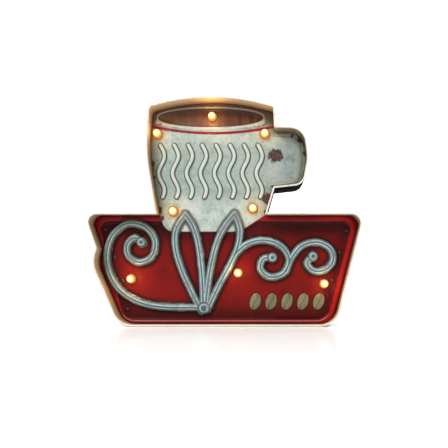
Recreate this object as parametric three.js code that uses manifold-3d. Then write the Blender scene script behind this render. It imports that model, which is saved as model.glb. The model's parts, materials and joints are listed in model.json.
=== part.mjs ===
// Lit tin advertising sign in the shape of a coffee cup above a banner. Millimetres, +Z up, front faces -Y.
// The origin is on the bottom edge, in the middle of the width and of the depth.
import * as THREE from 'three';
import { mergeVertices } from 'three/addons/utils/BufferGeometryUtils.js';
import Module from 'manifold-3d';

const wasm = await Module();
wasm.setup();

// ---------------------------------------------------------------- driving dimensions
const DEPTH = 45;             // side band, front to back
const FRONT = -DEPTH / 2;
const REAR = DEPTH / 2;
const GAP = 0.3;              // between pieces that touch

const BAND_SHEET = 1.0;
const HEM_WIDTH = 2.6;        // rolled front edge
const HEM_DEPTH = 3.0;
const FLANGE_WIDTH = 3.3;     // turned in behind

const PLATE_SHEET = 1.0;
const PLATE_FRONT = 2.5;      // border and cup level of the face plate
const FIELD_DROP = 2.5;       // the banner field lies this much deeper
const FIELD_FRONT = PLATE_FRONT + FIELD_DROP;
const PLATE_BACK = FIELD_FRONT + PLATE_SHEET;
const PLATE_FLANGE = 1.2;     // width of the turned edge of the plate
const DISH_DROP = 1.5;        // coffee surface below the cup level

const STROKE_RADIUS = 6.5;    // embossed scroll line, half round
const STROKE_AXIS = 4.5;      // depth of the line's axis
const STROKE_PITCH = 9;
const RIB_HALF_WIDTH = 3.6;
const RIB_HEIGHT = 2.0;

const LAMP_HOLE = 5.8;
const RIVET_HOLE = 1.8;

const BANNER_TOP = 165.5;

// Corners of the outline: x, z, corner radius. A radius of 0 is a weld between two strips of the band.
const OUTLINE = [
  [60, 0, 0], [162.5, 0, 30], [204.5, BANNER_TOP, 16],
  [62.5, BANNER_TOP, 0],
  [72.9, 200.8, 0], [115.5, 205.5, 18], [123, 246, 60], [117, 289.8, 25],
  [74.5, 291.5, 0], [73, 321, 6], [-20, 344.5, 300], [-111.5, 321, 10], [-116, 254, 250],
  [-101.4, BANNER_TOP, 0], [-205.3, BANNER_TOP, 14],
  [-187.8, 113.7, 0], [-194, 91.5, 40], [-154.2, 0, 30],
];
const BAND_NAMES = [
  'band_banner_right', 'band_cup_lower', 'band_handle', 'band_cup', 'band_banner_upper_left',
  'band_banner_left',
];

// The sunk field of the banner; the round bottom of the cup covers the middle of its upper edge.
const FIELD = [
  [152, 6.7, 20], [191, 156, 12], [46.5, 156, 2], [21.5, 140, 40], [-90.5, 140, 18], [-96.8, 156, 2],
  [-193, 156, 12], [-153, 6.7, 20],
];

const LAMPS = [
  [-20.9, 313], [-102.9, 287], [58.2, 287], [-79.1, 170.5], [40.4, 175],
  [-143.2, 69], [18, 77.9], [147.9, 61.6],
];
const DISH_LAMP = 0;
const RISING_LEG_LAMP = 2;    // its legs stand on the other diagonal, for the bend of the wiring
const FIELD_LAMPS = [5, 6, 7];

const RIVETS = [
  [-184, 143.5], [-168.3, 101.5], [-156.3, 66], [-149, 23], [182.5, 142.5], [172, 109], [161, 67],
];

// Embossed plant ornament of pipe-like lines, one list of points for each line: a volute on the left,
// two pointed leaves, each of two lines that meet at its tip, and two curls on the right.
const VOLUTE = [
  [-34, 26], [-66, 26], [-98, 27], [-130, 34], [-157, 50], [-174, 76], [-179, 105], [-170, 135], [-147, 152],
  [-120, 146], [-106, 124], [-112, 102], [-131, 94], [-147, 104], [-148, 121], [-137, 131], [-127, 124],
];
const LEFT_LEAF_OUTER = [[-37, 20], [-52, 50], [-67, 84], [-76, 116], [-75, 142], [-61, 166]];
const LEFT_LEAF_INNER = [[-34, 24], [-35, 60], [-38, 96], [-43, 128], [-50, 149], [-61, 166]];
const RIGHT_LEAF_INNER = [[-31, 24], [-27, 60], [-21, 96], [-12, 128], [-1, 149], [13, 167]];
const RIGHT_LEAF_OUTER = [[-28, 22], [-10, 60], [7, 92], [18, 118], [21, 144], [13, 167]];
const NEAR_CURL = [
  [13, 106], [31, 121], [56, 127], [82, 119], [95, 98], [86, 77], [66, 72], [52, 84], [56, 99], [70, 101],
];
const FAR_CURL = [
  [90, 80], [99, 101], [115, 119], [138, 124], [157, 114], [161, 97], [150, 83], [132, 81], [122, 93],
  [131, 103],
];
// Domed bosses where the lines start together and on the inner ends of the spirals: x, z, radius.
const BOSSES = [[-33, 25, 10], [-127, 124, 8.5], [70, 101, 8.5], [131, 103, 8.5]];
const BOSS_FRONT = -2.6;

const DISH = { x: -22.9, z: 311.3, halfWidth: 78, halfHeight: 13.5 };
const HANDLE_PAD = { x: 88, z: 246, halfWidth: 21, halfHeight: 31 };

const RIBS = { count: 8, x: -97, z: 192, pitch: 21, height: 78, sway: 4.5 };
const BEANS = { count: 5, x: 44, z: 34.5, pitch: 24, halfWidth: 8.5, halfHeight: 13, height: 1.5 };

const TRAY = {
  x: -38, z: 212, width: 84, height: 37, floor: PLATE_FRONT + PLATE_SHEET + GAP, rear: REAR - 0.5, wall: 2.2,
  room: 60, slotFront: 19.3, slotRear: 21.1, slotDepth: 1.0,
};
const CELL_RADIUS = 7.0;
const CELL_LENGTH = 49;

// ---------------------------------------------------------------- colours and finishes
const FINISH = {
  cream: { color: 0xe8dfc6, roughness: 0.5, metalness: 0.1 },
  plate: { color: 0x8f1512, roughness: 0.45, metalness: 0.1 },
  cap: { color: 0xffd98a, roughness: 0.15, metalness: 0 },
  led: { color: 0xfff3c8, roughness: 0.2, metalness: 0 },
  holder: { color: 0x1c1c1c, roughness: 0.6, metalness: 0 },
  zinc: { color: 0xb9bcbe, roughness: 0.35, metalness: 0.9 },
  rivet: { color: 0x5d1a14, roughness: 0.4, metalness: 0.4 },
  black: { color: 0x161616, roughness: 0.55, metalness: 0 },
  cell: { color: 0x2f5f96, roughness: 0.35, metalness: 0.3 },
  redWire: { color: 0xb01818, roughness: 0.5, metalness: 0 },
  blackWire: { color: 0x101010, roughness: 0.5, metalness: 0 },
};

const sign = new THREE.Group();

// ---------------------------------------------------------------- outlines
// A closed line round the corners, split into stretches at the corners without a radius.
function roundedStretches(corners) {
  const stretches = [];
  const count = corners.length;
  for (let i = 0; i < count; i += 1) {
    const [x, z, radius] = corners[i];
    const corner = new THREE.Vector2(x, z);
    if (radius === 0) {
      if (stretches.length > 0) stretches.at(-1).push(corner);
      stretches.push([corner]);
      continue;
    }
    if (stretches.length === 0) stretches.push([]);
    stretches.at(-1).push(...fillet(corners.at(i - 1), corners[i], corners[(i + 1) % count]));
  }
  if (corners[0][2] === 0) stretches.at(-1).push(new THREE.Vector2(corners[0][0], corners[0][1]));
  return stretches;
}

function fillet(before, here, after) {
  const corner = new THREE.Vector2(here[0], here[1]);
  const radius = here[2];
  const inward = new THREE.Vector2(before[0], before[1]).sub(corner).normalize();
  const outward = new THREE.Vector2(after[0], after[1]).sub(corner).normalize();
  const half = Math.acos(THREE.MathUtils.clamp(inward.dot(outward), -1, 1)) / 2;
  const middle = inward.clone().add(outward).normalize();
  const centre = corner.clone().addScaledVector(middle, radius / Math.sin(half));
  const start = corner.clone().addScaledVector(inward, radius / Math.tan(half)).sub(centre);
  const end = corner.clone().addScaledVector(outward, radius / Math.tan(half)).sub(centre);
  const from = Math.atan2(start.y, start.x);
  const turn = Math.atan2(start.cross(end), start.dot(end));
  const steps = Math.max(2, Math.ceil(Math.abs(turn) * Math.sqrt(radius) / 0.9));
  const points = [];
  for (let i = 0; i <= steps; i += 1) {
    const angle = from + turn * i / steps;
    points.push(new THREE.Vector2(centre.x + radius * Math.cos(angle), centre.y + radius * Math.sin(angle)));
  }
  return points;
}

function closedLoop(corners) {
  const points = roundedStretches(corners).flat();
  return points.filter((point, i) => point.distanceTo(points[(i + 1) % points.length]) > 1e-6);
}

// Each corner of a loop that runs anticlockwise, moved inwards by a distance.
function insetLoop(loop, distance) {
  return loop.map((point, i) => {
    const before = point.clone().sub(loop.at(i - 1)).normalize();
    const after = loop[(i + 1) % loop.length].clone().sub(point).normalize();
    const normal = new THREE.Vector2(-before.y - after.y, before.x + after.x);
    const scale = distance / (1 + before.dot(after));
    return point.clone().addScaledVector(normal, scale);
  });
}

function ellipseLoop({ x, z, halfWidth, halfHeight }, grow = 0, segments = 24) {
  const curve = new THREE.EllipseCurve(x, z, halfWidth + grow, halfHeight + grow);
  return curve.getPoints(segments).slice(0, -1);
}

// ---------------------------------------------------------------- solids
function solid(geometry) {
  geometry.deleteAttribute('normal');
  geometry.deleteAttribute('uv');
  const merged = mergeVertices(geometry, 1e-4);
  const index = merged.index.array;
  const corner = new THREE.Vector3();
  const corners = [new THREE.Vector3(), new THREE.Vector3(), new THREE.Vector3()];
  const triangles = [];
  let volume = 0;
  for (let i = 0; i < index.length; i += 3) {
    const triangle = [index[i], index[i + 1], index[i + 2]];
    if (new Set(triangle).size < 3) continue;
    triangles.push(triangle);
    corners.forEach((vector, k) => vector.fromBufferAttribute(merged.attributes.position, triangle[k]));
    volume += corners[0].dot(corner.crossVectors(corners[1], corners[2]));
  }
  const outward = volume > 0 ? triangles : triangles.map(([a, b, c]) => [a, c, b]);
  return new wasm.Manifold(new wasm.Mesh({
    numProp: 3,
    vertProperties: new Float32Array(merged.attributes.position.array),
    triVerts: new Uint32Array(outward.flat()),
  }));
}

// A flat piece with an outline in x and z, from one depth to another.
function slab(loop, front, back, holes = []) {
  const shape = new THREE.Shape(loop);
  shape.holes = holes.map((hole) => new THREE.Path(hole));
  const geometry = new THREE.ExtrudeGeometry(shape, { depth: back - front, bevelEnabled: false });
  geometry.rotateX(Math.PI / 2);
  geometry.translate(0, back, 0);
  return solid(geometry);
}

function block(x, y, z) {
  const geometry = new THREE.BoxGeometry(x[1] - x[0], y[1] - y[0], z[1] - z[0]);
  geometry.translate((x[0] + x[1]) / 2, (y[0] + y[1]) / 2, (z[0] + z[1]) / 2);
  return solid(geometry);
}

// A turned piece; its axis runs from front to back and the profile holds radius and depth.
function turned(profile, segments) {
  const points = profile.map(([radius, depth]) => new THREE.Vector2(radius, depth));
  return solid(new THREE.LatheGeometry(points, segments));
}

function drill([x, z], radius, segments = 12) {
  const geometry = new THREE.CylinderGeometry(radius, radius, DEPTH, segments);
  geometry.translate(x, 0, z);
  return solid(geometry);
}

// A line with a round front and a flat back, swept through points at one depth.
function bead(points, { halfWidth, height, axis, back, pitch }) {
  const section = new THREE.Shape();
  section.moveTo(axis - back, -halfWidth);
  section.lineTo(0, -halfWidth);
  const sides = 5;
  for (let i = 1; i <= sides; i += 1) {
    const angle = Math.PI * (i / sides - 0.5);
    section.lineTo(height * Math.cos(angle), halfWidth * Math.sin(angle));
  }
  section.lineTo(axis - back, halfWidth);
  const path = new THREE.CatmullRomCurve3(points.map(([x, z]) => new THREE.Vector3(x, axis, z)));
  const steps = Math.ceil(path.getLength() / pitch);
  return solid(new THREE.ExtrudeGeometry(section, { steps, bevelEnabled: false, extrudePath: path }));
}

function tube(points, radius, steps) {
  const section = new THREE.Shape();
  section.absarc(0, 0, radius, 0, Math.PI * 2);
  const path = new THREE.CatmullRomCurve3(points.map((point) => new THREE.Vector3(...point)));
  const options = { steps, curveSegments: 4, bevelEnabled: false, extrudePath: path };
  return solid(new THREE.ExtrudeGeometry(section, options));
}

function add(name, body, finish, x = 0, y = 0, z = 0) {
  const { vertProperties, triVerts } = body.getMesh();
  const geometry = new THREE.BufferGeometry();
  geometry.setAttribute('position', new THREE.BufferAttribute(vertProperties, 3));
  geometry.setIndex(new THREE.BufferAttribute(triVerts, 1));
  geometry.computeVertexNormals();
  const mesh = new THREE.Mesh(geometry, new THREE.MeshStandardMaterial(FINISH[finish]));
  mesh.name = name;
  mesh.position.set(x, y, z);
  sign.add(mesh);
}

// ---------------------------------------------------------------- side band
const outline = closedLoop(OUTLINE);

// The strip between two depths that follows part of the outline; its ends are mitred to the next strip.
function ribbon(from, to, inner, front, back) {
  const inside = insetLoop(outline, inner);
  const outerEdge = [];
  const innerEdge = [];
  for (let i = from; i <= to; i += 1) {
    outerEdge.push(outline[i % outline.length].clone());
    innerEdge.push(inside[i % outline.length].clone());
  }
  [outerEdge, innerEdge].forEach((edge) => {
    pullBack(edge[0], edge[1]);
    pullBack(edge.at(-1), edge.at(-2));
  });
  return slab([...outerEdge, ...innerEdge.reverse()], front, back);
}

function pullBack(end, next) {
  const toNext = next.clone().sub(end).normalize();
  end.addScaledVector(toNext, GAP / 2);
}

function addBand() {
  const lengths = roundedStretches(OUTLINE).map((stretch) => stretch.length - 1);
  let from = 0;
  BAND_NAMES.forEach((name, i) => {
    const to = from + lengths[i];
    const wall = ribbon(from, to, BAND_SHEET, FRONT, REAR);
    const hem = ribbon(from, to, HEM_WIDTH, FRONT, FRONT + HEM_DEPTH);
    const flange = ribbon(from, to, FLANGE_WIDTH, REAR - BAND_SHEET, REAR);
    add(name, wall.add(hem).add(flange), 'cream');
    from = to;
  });
}

// ---------------------------------------------------------------- face plate
function scrollLines() {
  const section = {
    halfWidth: STROKE_RADIUS, height: STROKE_RADIUS, axis: STROKE_AXIS, back: FIELD_FRONT + PLATE_SHEET / 2,
    pitch: STROKE_PITCH,
  };
  const leaves = [LEFT_LEAF_OUTER, LEFT_LEAF_INNER, RIGHT_LEAF_INNER, RIGHT_LEAF_OUTER];
  return [VOLUTE, ...leaves, NEAR_CURL, FAR_CURL]
    .map((points) => bead(points, section))
    .reduce((whole, line) => whole.add(line));
}

function boss([x, z, radius]) {
  const axis = FIELD_FRONT - 0.5;
  const back = FIELD_FRONT + PLATE_SHEET / 2;
  const dome = [0, 22, 44, 66, 90].map((angle) => {
    const turn = THREE.MathUtils.degToRad(angle);
    return [radius * Math.cos(turn), axis + (BOSS_FRONT - axis) * Math.sin(turn)];
  });
  dome[dome.length - 1][0] = 0;
  return turned([[0, back], [radius, back], ...dome], 20).translate([x, 0, z]);
}

function steamRib(number) {
  const points = [];
  const steps = 7;
  for (let i = 0; i <= steps; i += 1) {
    const part = i / steps;
    const sway = RIBS.sway * Math.sin(part * Math.PI * 3 + 0.4);
    points.push([RIBS.x + RIBS.pitch * number + sway, RIBS.z + RIBS.height * part]);
  }
  return bead(points, {
    halfWidth: RIB_HALF_WIDTH, height: RIB_HEIGHT, axis: PLATE_FRONT + 0.2, back: PLATE_FRONT + 0.5,
    pitch: 7,
  });
}

function bean(number) {
  const loop = ellipseLoop({ x: 0, z: 0, halfWidth: BEANS.halfWidth, halfHeight: BEANS.halfHeight }, 0, 14);
  const centre = new THREE.Vector2(BEANS.x + BEANS.pitch * number, BEANS.z);
  const tilt = -0.3;
  const placed = loop.map((point) => point.rotateAround(new THREE.Vector2(), tilt).add(centre));
  return slab(placed, FIELD_FRONT - BEANS.height, FIELD_FRONT + PLATE_SHEET / 2);
}

function plateSheet() {
  const edge = insetLoop(outline, BAND_SHEET + GAP);
  const field = closedLoop(FIELD);
  const through = [FRONT, REAR];
  const fieldPocket = slab(field, FRONT, FIELD_FRONT);
  const dishPocket = slab(ellipseLoop(DISH), FRONT, PLATE_FRONT + DISH_DROP);
  const dishSheet = PLATE_FRONT + DISH_DROP + PLATE_SHEET;
  const rearPocket = slab(insetLoop(edge, PLATE_FLANGE), PLATE_FRONT + PLATE_SHEET, REAR)
    .subtract(slab(insetLoop(field, -PLATE_SHEET), ...through))
    .subtract(slab(ellipseLoop(DISH, PLATE_SHEET), FRONT, dishSheet));
  return slab(edge, PLATE_FRONT, PLATE_BACK)
    .subtract(fieldPocket)
    .subtract(dishPocket)
    .subtract(rearPocket);
}

function addPlate() {
  const ring = slab(ellipseLoop(DISH, 4), PLATE_FRONT - 1, PLATE_FRONT + 0.5, [ellipseLoop(DISH, 0.4)]);
  const pad = slab(ellipseLoop(HANDLE_PAD), PLATE_FRONT - 1, PLATE_FRONT + 0.5);
  const reach = slab(insetLoop(outline, BAND_SHEET + GAP), FRONT, PLATE_BACK);
  let plate = plateSheet().add(ring).add(pad).add(scrollLines()).intersect(reach);
  BOSSES.forEach((place) => { plate = plate.add(boss(place)); });
  for (let i = 0; i < RIBS.count; i += 1) plate = plate.add(steamRib(i));
  for (let i = 0; i < BEANS.count; i += 1) plate = plate.add(bean(i));
  LAMPS.forEach((place) => { plate = plate.subtract(drill(place, LAMP_HOLE)); });
  RIVETS.forEach((place) => { plate = plate.subtract(drill(place, RIVET_HOLE, 8)); });
  add('face_plate', plate, 'plate');
}

// ---------------------------------------------------------------- lamps, from the front of the sheet
const CAP_PROFILE = [
  [4.5, 4.8], [5.5, 4.8], [5.5, -GAP], [7.3, -GAP], [7.3, -1.3], [6, -1.3], [6, -6], [3.6, -9.4], [0, -10.2],
  [0, -9.2], [3, -8.4], [4.7, -5.5], [4.5, 4.8],
];
const HOLDER_PROFILE = [
  [5.8, 1.3], [7.3, 1.3], [7.3, 9.3], [4, 9.3], [4, 7.5], [2.8, 7.5], [2.8, 5.5], [5.8, 5.5], [5.8, 1.3],
];
const LED_PROFILE = [
  [0, -5], [1.7, -4.4], [2.5, -2.6], [2.5, 7.8], [3.3, 7.8], [3.3, 8.8], [0, 8.8],
];
const LED_LEG = { offset: 1.1, half: 0.3, plusEnd: 11.2, minusEnd: 13.4 };

// The two legs stand on a diagonal, so that a wire soldered to one passes beside the other.
function ledBody(slant) {
  const { offset, half, plusEnd, minusEnd } = LED_LEG;
  const leg = (x, z, end) => block([x - half, x + half], [8.5, end], [z - half, z + half]);
  return turned(LED_PROFILE, 8)
    .add(leg(offset, offset * slant, plusEnd))
    .add(leg(-offset, -offset * slant, minusEnd));
}

function legSlant(number) {
  return number === RISING_LEG_LAMP ? 1 : -1;
}

function lampDepth(number) {
  if (FIELD_LAMPS.includes(number)) return FIELD_FRONT;
  if (number === DISH_LAMP) return PLATE_FRONT + DISH_DROP;
  return PLATE_FRONT;
}

function addLamps() {
  LAMPS.forEach(([x, z], i) => {
    const place = [x, lampDepth(i), z];
    add(`bulb_cap_${i + 1}`, turned(CAP_PROFILE, 10), 'cap', ...place);
    add(`lamp_holder_${i + 1}`, turned(HOLDER_PROFILE, 10), 'holder', ...place);
    add(`led_${i + 1}`, ledBody(legSlant(i)), 'led', ...place);
  });
}

// ---------------------------------------------------------------- rivets and the tabs behind them
const RIVET_PROFILE = [
  [0, -1.6], [1.6, -1.4], [2.8, -GAP], [1.4, -GAP], [1.4, 2.7], [2.5, 2.7], [2.5, 3.5], [0, 3.5],
];
const TAB = { width: 11, sheet: 1.0, reach: 4, clearance: 0.7, leg: 11 };

function nearestOnOutline(point) {
  const spots = outline.map((start, i) => {
    const line = new THREE.Line3(
      new THREE.Vector3(start.x, start.y, 0),
      new THREE.Vector3(outline[(i + 1) % outline.length].x, outline[(i + 1) % outline.length].y, 0),
    );
    return line.closestPointToPoint(new THREE.Vector3(point.x, point.y, 0), true, new THREE.Vector3());
  });
  const target = new THREE.Vector3(point.x, point.y, 0);
  spots.sort((a, b) => a.distanceTo(target) - b.distanceTo(target));
  return new THREE.Vector2(spots[0].x, spots[0].y);
}

// An angle piece: one leg behind the plate, one leg along the band. It is drawn with x towards the band.
function tabSolid(distance) {
  const front = PLATE_BACK + GAP;
  const end = distance - BAND_SHEET - TAB.clearance;
  const half = TAB.width / 2;
  const plateLeg = block([-TAB.reach, end], [front, front + TAB.sheet], [-half, half]);
  const bandLeg = block([end - TAB.sheet, end], [front, front + TAB.leg], [-half, half]);
  return plateLeg.add(bandLeg).subtract(drill([0, 0], RIVET_HOLE, 8));
}

function addRivets() {
  RIVETS.forEach(([x, z], i) => {
    const point = new THREE.Vector2(x, z);
    const toBand = nearestOnOutline(point).sub(point);
    add(`plate_rivet_${i + 1}`, turned(RIVET_PROFILE, 8), 'rivet', x, FIELD_FRONT, z);
    const turn = -THREE.MathUtils.radToDeg(toBand.angle());
    add(`plate_tab_${i + 1}`, tabSolid(toBand.length()).rotate([0, turn, 0]), 'zinc', x, 0, z);
  });
}

// ---------------------------------------------------------------- battery tray, door, cells and contacts
const trayRight = TRAY.x + TRAY.width;
const trayTop = TRAY.z + TRAY.height;
const roomLeft = TRAY.x + TRAY.wall;
const roomRight = roomLeft + TRAY.room;
const roomBottom = TRAY.z + TRAY.wall;
const roomTop = trayTop - TRAY.wall;
const trayFloor = TRAY.floor + 1.2;
const cellDepth = trayFloor + CELL_RADIUS + 0.2;
const SWITCH = {
  x: roomRight + 11, z: (roomBottom + roomTop) / 2, width: 9, height: 17, front: trayFloor + GAP, rear: 15,
};
const BLADE = { depth: [trayFloor + 2, trayFloor + 2.8], height: [223, 226] };
const NUB = { half: 1.6, travel: 4, rear: 21.9 };

function addTray() {
  const slot = [roomBottom - TRAY.slotDepth, roomTop + TRAY.slotDepth];
  const leverRoom = NUB.half + NUB.travel / 2 + 0.5;
  const divider = [roomRight - 1, roomRight + TRAY.wall + 1];
  const switchRoom = [roomRight + TRAY.wall, trayRight - TRAY.wall];
  const bladeSlot = [BLADE.height[0] - 0.5, BLADE.height[1] + 0.5];
  const rightWall = [trayRight - TRAY.wall - 1, trayRight + 1];
  const tray = block([TRAY.x, trayRight], [TRAY.floor, TRAY.rear], [TRAY.z, trayTop])
    .subtract(block([roomLeft, roomRight], [trayFloor, REAR + 1], [roomBottom, roomTop]))
    .subtract(block(switchRoom, [trayFloor, TRAY.rear - 1.5], [roomBottom, roomTop]))
    .subtract(block([SWITCH.x - NUB.half - 0.5, SWITCH.x + NUB.half + 0.5], [trayFloor, REAR + 1],
      [SWITCH.z - leverRoom, SWITCH.z + leverRoom]))
    .subtract(block([TRAY.x - 1, roomRight], [TRAY.slotFront, TRAY.slotRear], slot))
    .subtract(block([TRAY.x - 1, roomLeft + 1], [TRAY.slotFront, REAR + 1], [roomBottom, roomTop]))
    .subtract(block(divider, [trayFloor + 1.6, trayFloor + 4.8], [roomTop - 4.2, roomTop - 0.8]))
    .subtract(block(divider, [trayFloor + 1.5, trayFloor + 3.3], bladeSlot))
    .subtract(block(rightWall, [trayFloor + 1.5, trayFloor + 8], [roomTop - 12, roomTop - 3]));
  add('battery_tray', tray, 'black');

  const doorRear = TRAY.slotRear - GAP;
  let door = block([TRAY.x + 0.2, roomRight - GAP], [TRAY.slotFront + GAP, doorRear],
    [slot[0] + GAP, slot[1] - GAP]);
  const ribHeight = [SWITCH.z - 8, SWITCH.z + 8];
  for (let i = 0; i < 4; i += 1) {
    const left = roomLeft + 4 + 3.4 * i;
    door = door.add(block([left, left + 1.6], [doorRear - 0.2, TRAY.rear - 0.1], ribHeight));
  }
  add('battery_door', door, 'black');
}

function addCells() {
  const axisLeft = (roomLeft + roomRight) / 2 - CELL_LENGTH / 2;
  const profile = [
    [0, 0], [CELL_RADIUS - 0.6, 0], [CELL_RADIUS, 0.6], [CELL_RADIUS, CELL_LENGTH - 2],
    [2.7, CELL_LENGTH - 1.6], [2.7, CELL_LENGTH], [0, CELL_LENGTH],
  ];
  [roomBottom + CELL_RADIUS + 0.7, roomTop - CELL_RADIUS - 0.7].forEach((z, i) => {
    const facesRight = i === 0;
    const cell = turned(profile, 16).rotate([0, 0, facesRight ? -90 : 90]);
    add(`aa_cell_${i + 1}`, cell, 'cell', facesRight ? axisLeft : axisLeft + CELL_LENGTH, cellDepth, z);
  });

  // flat springs: the left one links the two cells, the right ones lead to the switch and to the lamps
  const contactSide = (x, from, to) => block([x, x + 0.8], [trayFloor + GAP, trayFloor + 13], [from, to]);
  const leaf = (x, z, towards) => block([Math.min(x, x + towards), Math.max(x, x + towards)],
    [cellDepth - 1.5, cellDepth + 1.5], [z - 2.5, z + 2.5]);
  const low = roomBottom + CELL_RADIUS + 0.7;
  const high = roomTop - CELL_RADIUS - 0.7;
  const linkX = roomLeft + GAP;
  const leafReach = axisLeft - linkX - GAP;
  const link = contactSide(linkX, low - 5, high + 5)
    .add(leaf(linkX, low, leafReach))
    .add(leaf(linkX, high, leafReach));
  add('link_contact', link, 'zinc');
  const endX = roomRight - GAP - 0.8;
  const blade = block([endX, SWITCH.x - SWITCH.width / 2 - GAP], BLADE.depth, BLADE.height);
  const plus = contactSide(endX, low - 5, low + 5).add(leaf(endX + 0.8, low, -leafReach)).add(blade);
  add('plus_contact', plus, 'zinc');
  const minus = contactSide(endX, high - 5, high + 5).add(leaf(endX + 0.8, high, -leafReach));
  add('minus_contact', minus, 'zinc');
}

function addSwitch() {
  const { x, z, width, height, front, rear } = SWITCH;
  const room = NUB.half + NUB.travel / 2 + GAP;
  const body = block([x - width / 2, x + width / 2], [front, rear], [z - height / 2, z + height / 2])
    .subtract(block([x - 3, x + 3], [rear - 3, rear + 1], [z - room - 1, z + room + 1]));
  add('switch_body', body, 'zinc');
  const nubZ = z + NUB.travel / 2;
  const nub = block([x - NUB.half, x + NUB.half], [rear - 2.7, NUB.rear], [nubZ - NUB.half, nubZ + NUB.half])
    .add(block([x - 2.6, x + 2.6], [rear - 2.7, rear - 1], [nubZ - NUB.half - 0.8, nubZ + NUB.half + 0.8]));
  add('switch_slider', nub, 'black');
}

// ---------------------------------------------------------------- hangers
const HANGER_RISE = 0.8;

// An angle under the rear flange, with a raised keyhole face clear of the flange's edge.
function addHangers() {
  const plateRear = REAR - BAND_SHEET - GAP;
  const faceTop = BANNER_TOP - FLANGE_WIDTH - 0.5;
  [['hanger_left', -150], ['hanger_right', 150]].forEach(([name, x]) => {
    const top = BANNER_TOP - BAND_SHEET - GAP;
    const slotZ = top - 20;
    const across = [x - 12, x + 12];
    const plate = block(across, [plateRear - 1.2, plateRear], [top - 36, top])
      .add(block(across, [plateRear - 11, plateRear], [top - 1.2, top]))
      .add(block(across, [plateRear - 0.6, plateRear + HANGER_RISE], [top - 36, faceTop]))
      .subtract(drill([x, slotZ - 6], 4.5, 14))
      .subtract(block([x - 2, x + 2], [REAR - 5, REAR + 1], [slotZ - 6, slotZ + 6]));
    add(name, plate, 'zinc');
  });
}

// ---------------------------------------------------------------- wiring
const WIRE_RADIUS = 0.8;
const WIRE_STEPS = 64;
const LAMP_ORDER = [5, 3, 1, 0, 2, 4, 6, 7];

// One wire soldered to the same leg of every lamp, in turn.
function lampRun(side, legEnd) {
  const behind = legEnd + GAP + WIRE_RADIUS;
  return LAMP_ORDER.map((lamp) => {
    const [x, z] = LAMPS[lamp];
    return [x + side, lampDepth(lamp) + behind, z + side * legSlant(lamp)];
  });
}

function addWires() {
  const plusRun = lampRun(LED_LEG.offset, LED_LEG.plusEnd);
  const minusRun = lampRun(-LED_LEG.offset, LED_LEG.minusEnd);
  add('lamp_wire_plus', tube(plusRun, WIRE_RADIUS, WIRE_STEPS), 'redWire');
  add('lamp_wire_minus', tube(minusRun, WIRE_RADIUS, WIRE_STEPS), 'blackWire');

  const holeDepth = trayFloor + 4;
  const plusLead = [
    [SWITCH.x + SWITCH.width / 2 + 1.2, 9, SWITCH.z + 3], [trayRight - 3.6, holeDepth, roomTop - 9],
    [trayRight - 1, holeDepth, roomTop - 9.6], [trayRight + 3, holeDepth + 3, roomTop - 10],
  ];
  add('plus_lead', tube(plusLead, WIRE_RADIUS, 8), 'redWire');
  const minusLead = [
    [roomRight + 0.6, trayFloor + 3, roomTop - 2.5], [SWITCH.x, trayFloor + 3.4, roomTop - 2.6],
    [trayRight - 2, holeDepth, roomTop - 5], [trayRight + 2.6, holeDepth + 5, roomTop - 6],
  ];
  add('minus_lead', tube(minusLead, WIRE_RADIUS, 12), 'blackWire');
}

addBand();
addPlate();
addLamps();
addRivets();
addTray();
addCells();
addSwitch();
addHangers();
addWires();

export default sign;
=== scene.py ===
import json
import math

import bmesh
import bpy
import numpy as np
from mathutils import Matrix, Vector
from mathutils.geometry import delaunay_2d_cdt

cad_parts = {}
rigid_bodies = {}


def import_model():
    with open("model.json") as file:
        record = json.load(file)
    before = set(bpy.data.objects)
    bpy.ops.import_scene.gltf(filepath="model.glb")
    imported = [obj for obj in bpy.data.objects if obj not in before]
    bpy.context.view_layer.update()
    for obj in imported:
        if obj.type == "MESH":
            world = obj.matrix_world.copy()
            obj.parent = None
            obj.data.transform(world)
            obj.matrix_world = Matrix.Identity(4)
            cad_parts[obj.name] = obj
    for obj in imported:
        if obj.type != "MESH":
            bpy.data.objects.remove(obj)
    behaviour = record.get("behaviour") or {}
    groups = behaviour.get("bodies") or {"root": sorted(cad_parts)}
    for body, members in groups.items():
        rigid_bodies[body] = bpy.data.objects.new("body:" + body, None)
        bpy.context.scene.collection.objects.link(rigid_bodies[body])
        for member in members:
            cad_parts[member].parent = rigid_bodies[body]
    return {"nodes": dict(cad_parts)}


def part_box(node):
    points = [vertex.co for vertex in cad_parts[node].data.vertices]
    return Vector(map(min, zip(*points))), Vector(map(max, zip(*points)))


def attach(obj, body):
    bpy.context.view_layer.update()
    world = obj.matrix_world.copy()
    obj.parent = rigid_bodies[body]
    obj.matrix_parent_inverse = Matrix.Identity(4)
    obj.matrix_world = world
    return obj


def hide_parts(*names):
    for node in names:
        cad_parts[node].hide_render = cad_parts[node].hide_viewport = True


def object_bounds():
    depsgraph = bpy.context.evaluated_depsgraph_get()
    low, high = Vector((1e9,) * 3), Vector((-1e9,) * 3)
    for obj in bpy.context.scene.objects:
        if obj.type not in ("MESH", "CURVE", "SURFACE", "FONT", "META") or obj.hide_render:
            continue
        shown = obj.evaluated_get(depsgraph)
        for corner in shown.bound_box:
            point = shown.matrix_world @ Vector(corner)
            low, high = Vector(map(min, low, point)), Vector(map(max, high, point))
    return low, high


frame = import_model()
cadLow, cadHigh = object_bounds()
mm = 0.001
scene = bpy.context.scene
cadNodes = sorted(frame["nodes"])


def named(prefix):  # the CAD nodes of one kind, in order
    return [node for node in cadNodes if node.startswith(prefix)]


def middle(node):  # a node's middle in millimetres: x, z
    low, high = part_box(node)
    return (low.x + high.x) / 2 / mm, (low.z + high.z) / 2 / mm


bandFront = cadLow.y / mm
bandRear = cadHigh.y / mm
lampPlaces = [middle(node) for node in named("bulb_cap_")]
rivetPlaces = [middle(node) for node in named("plate_rivet_")]

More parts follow.
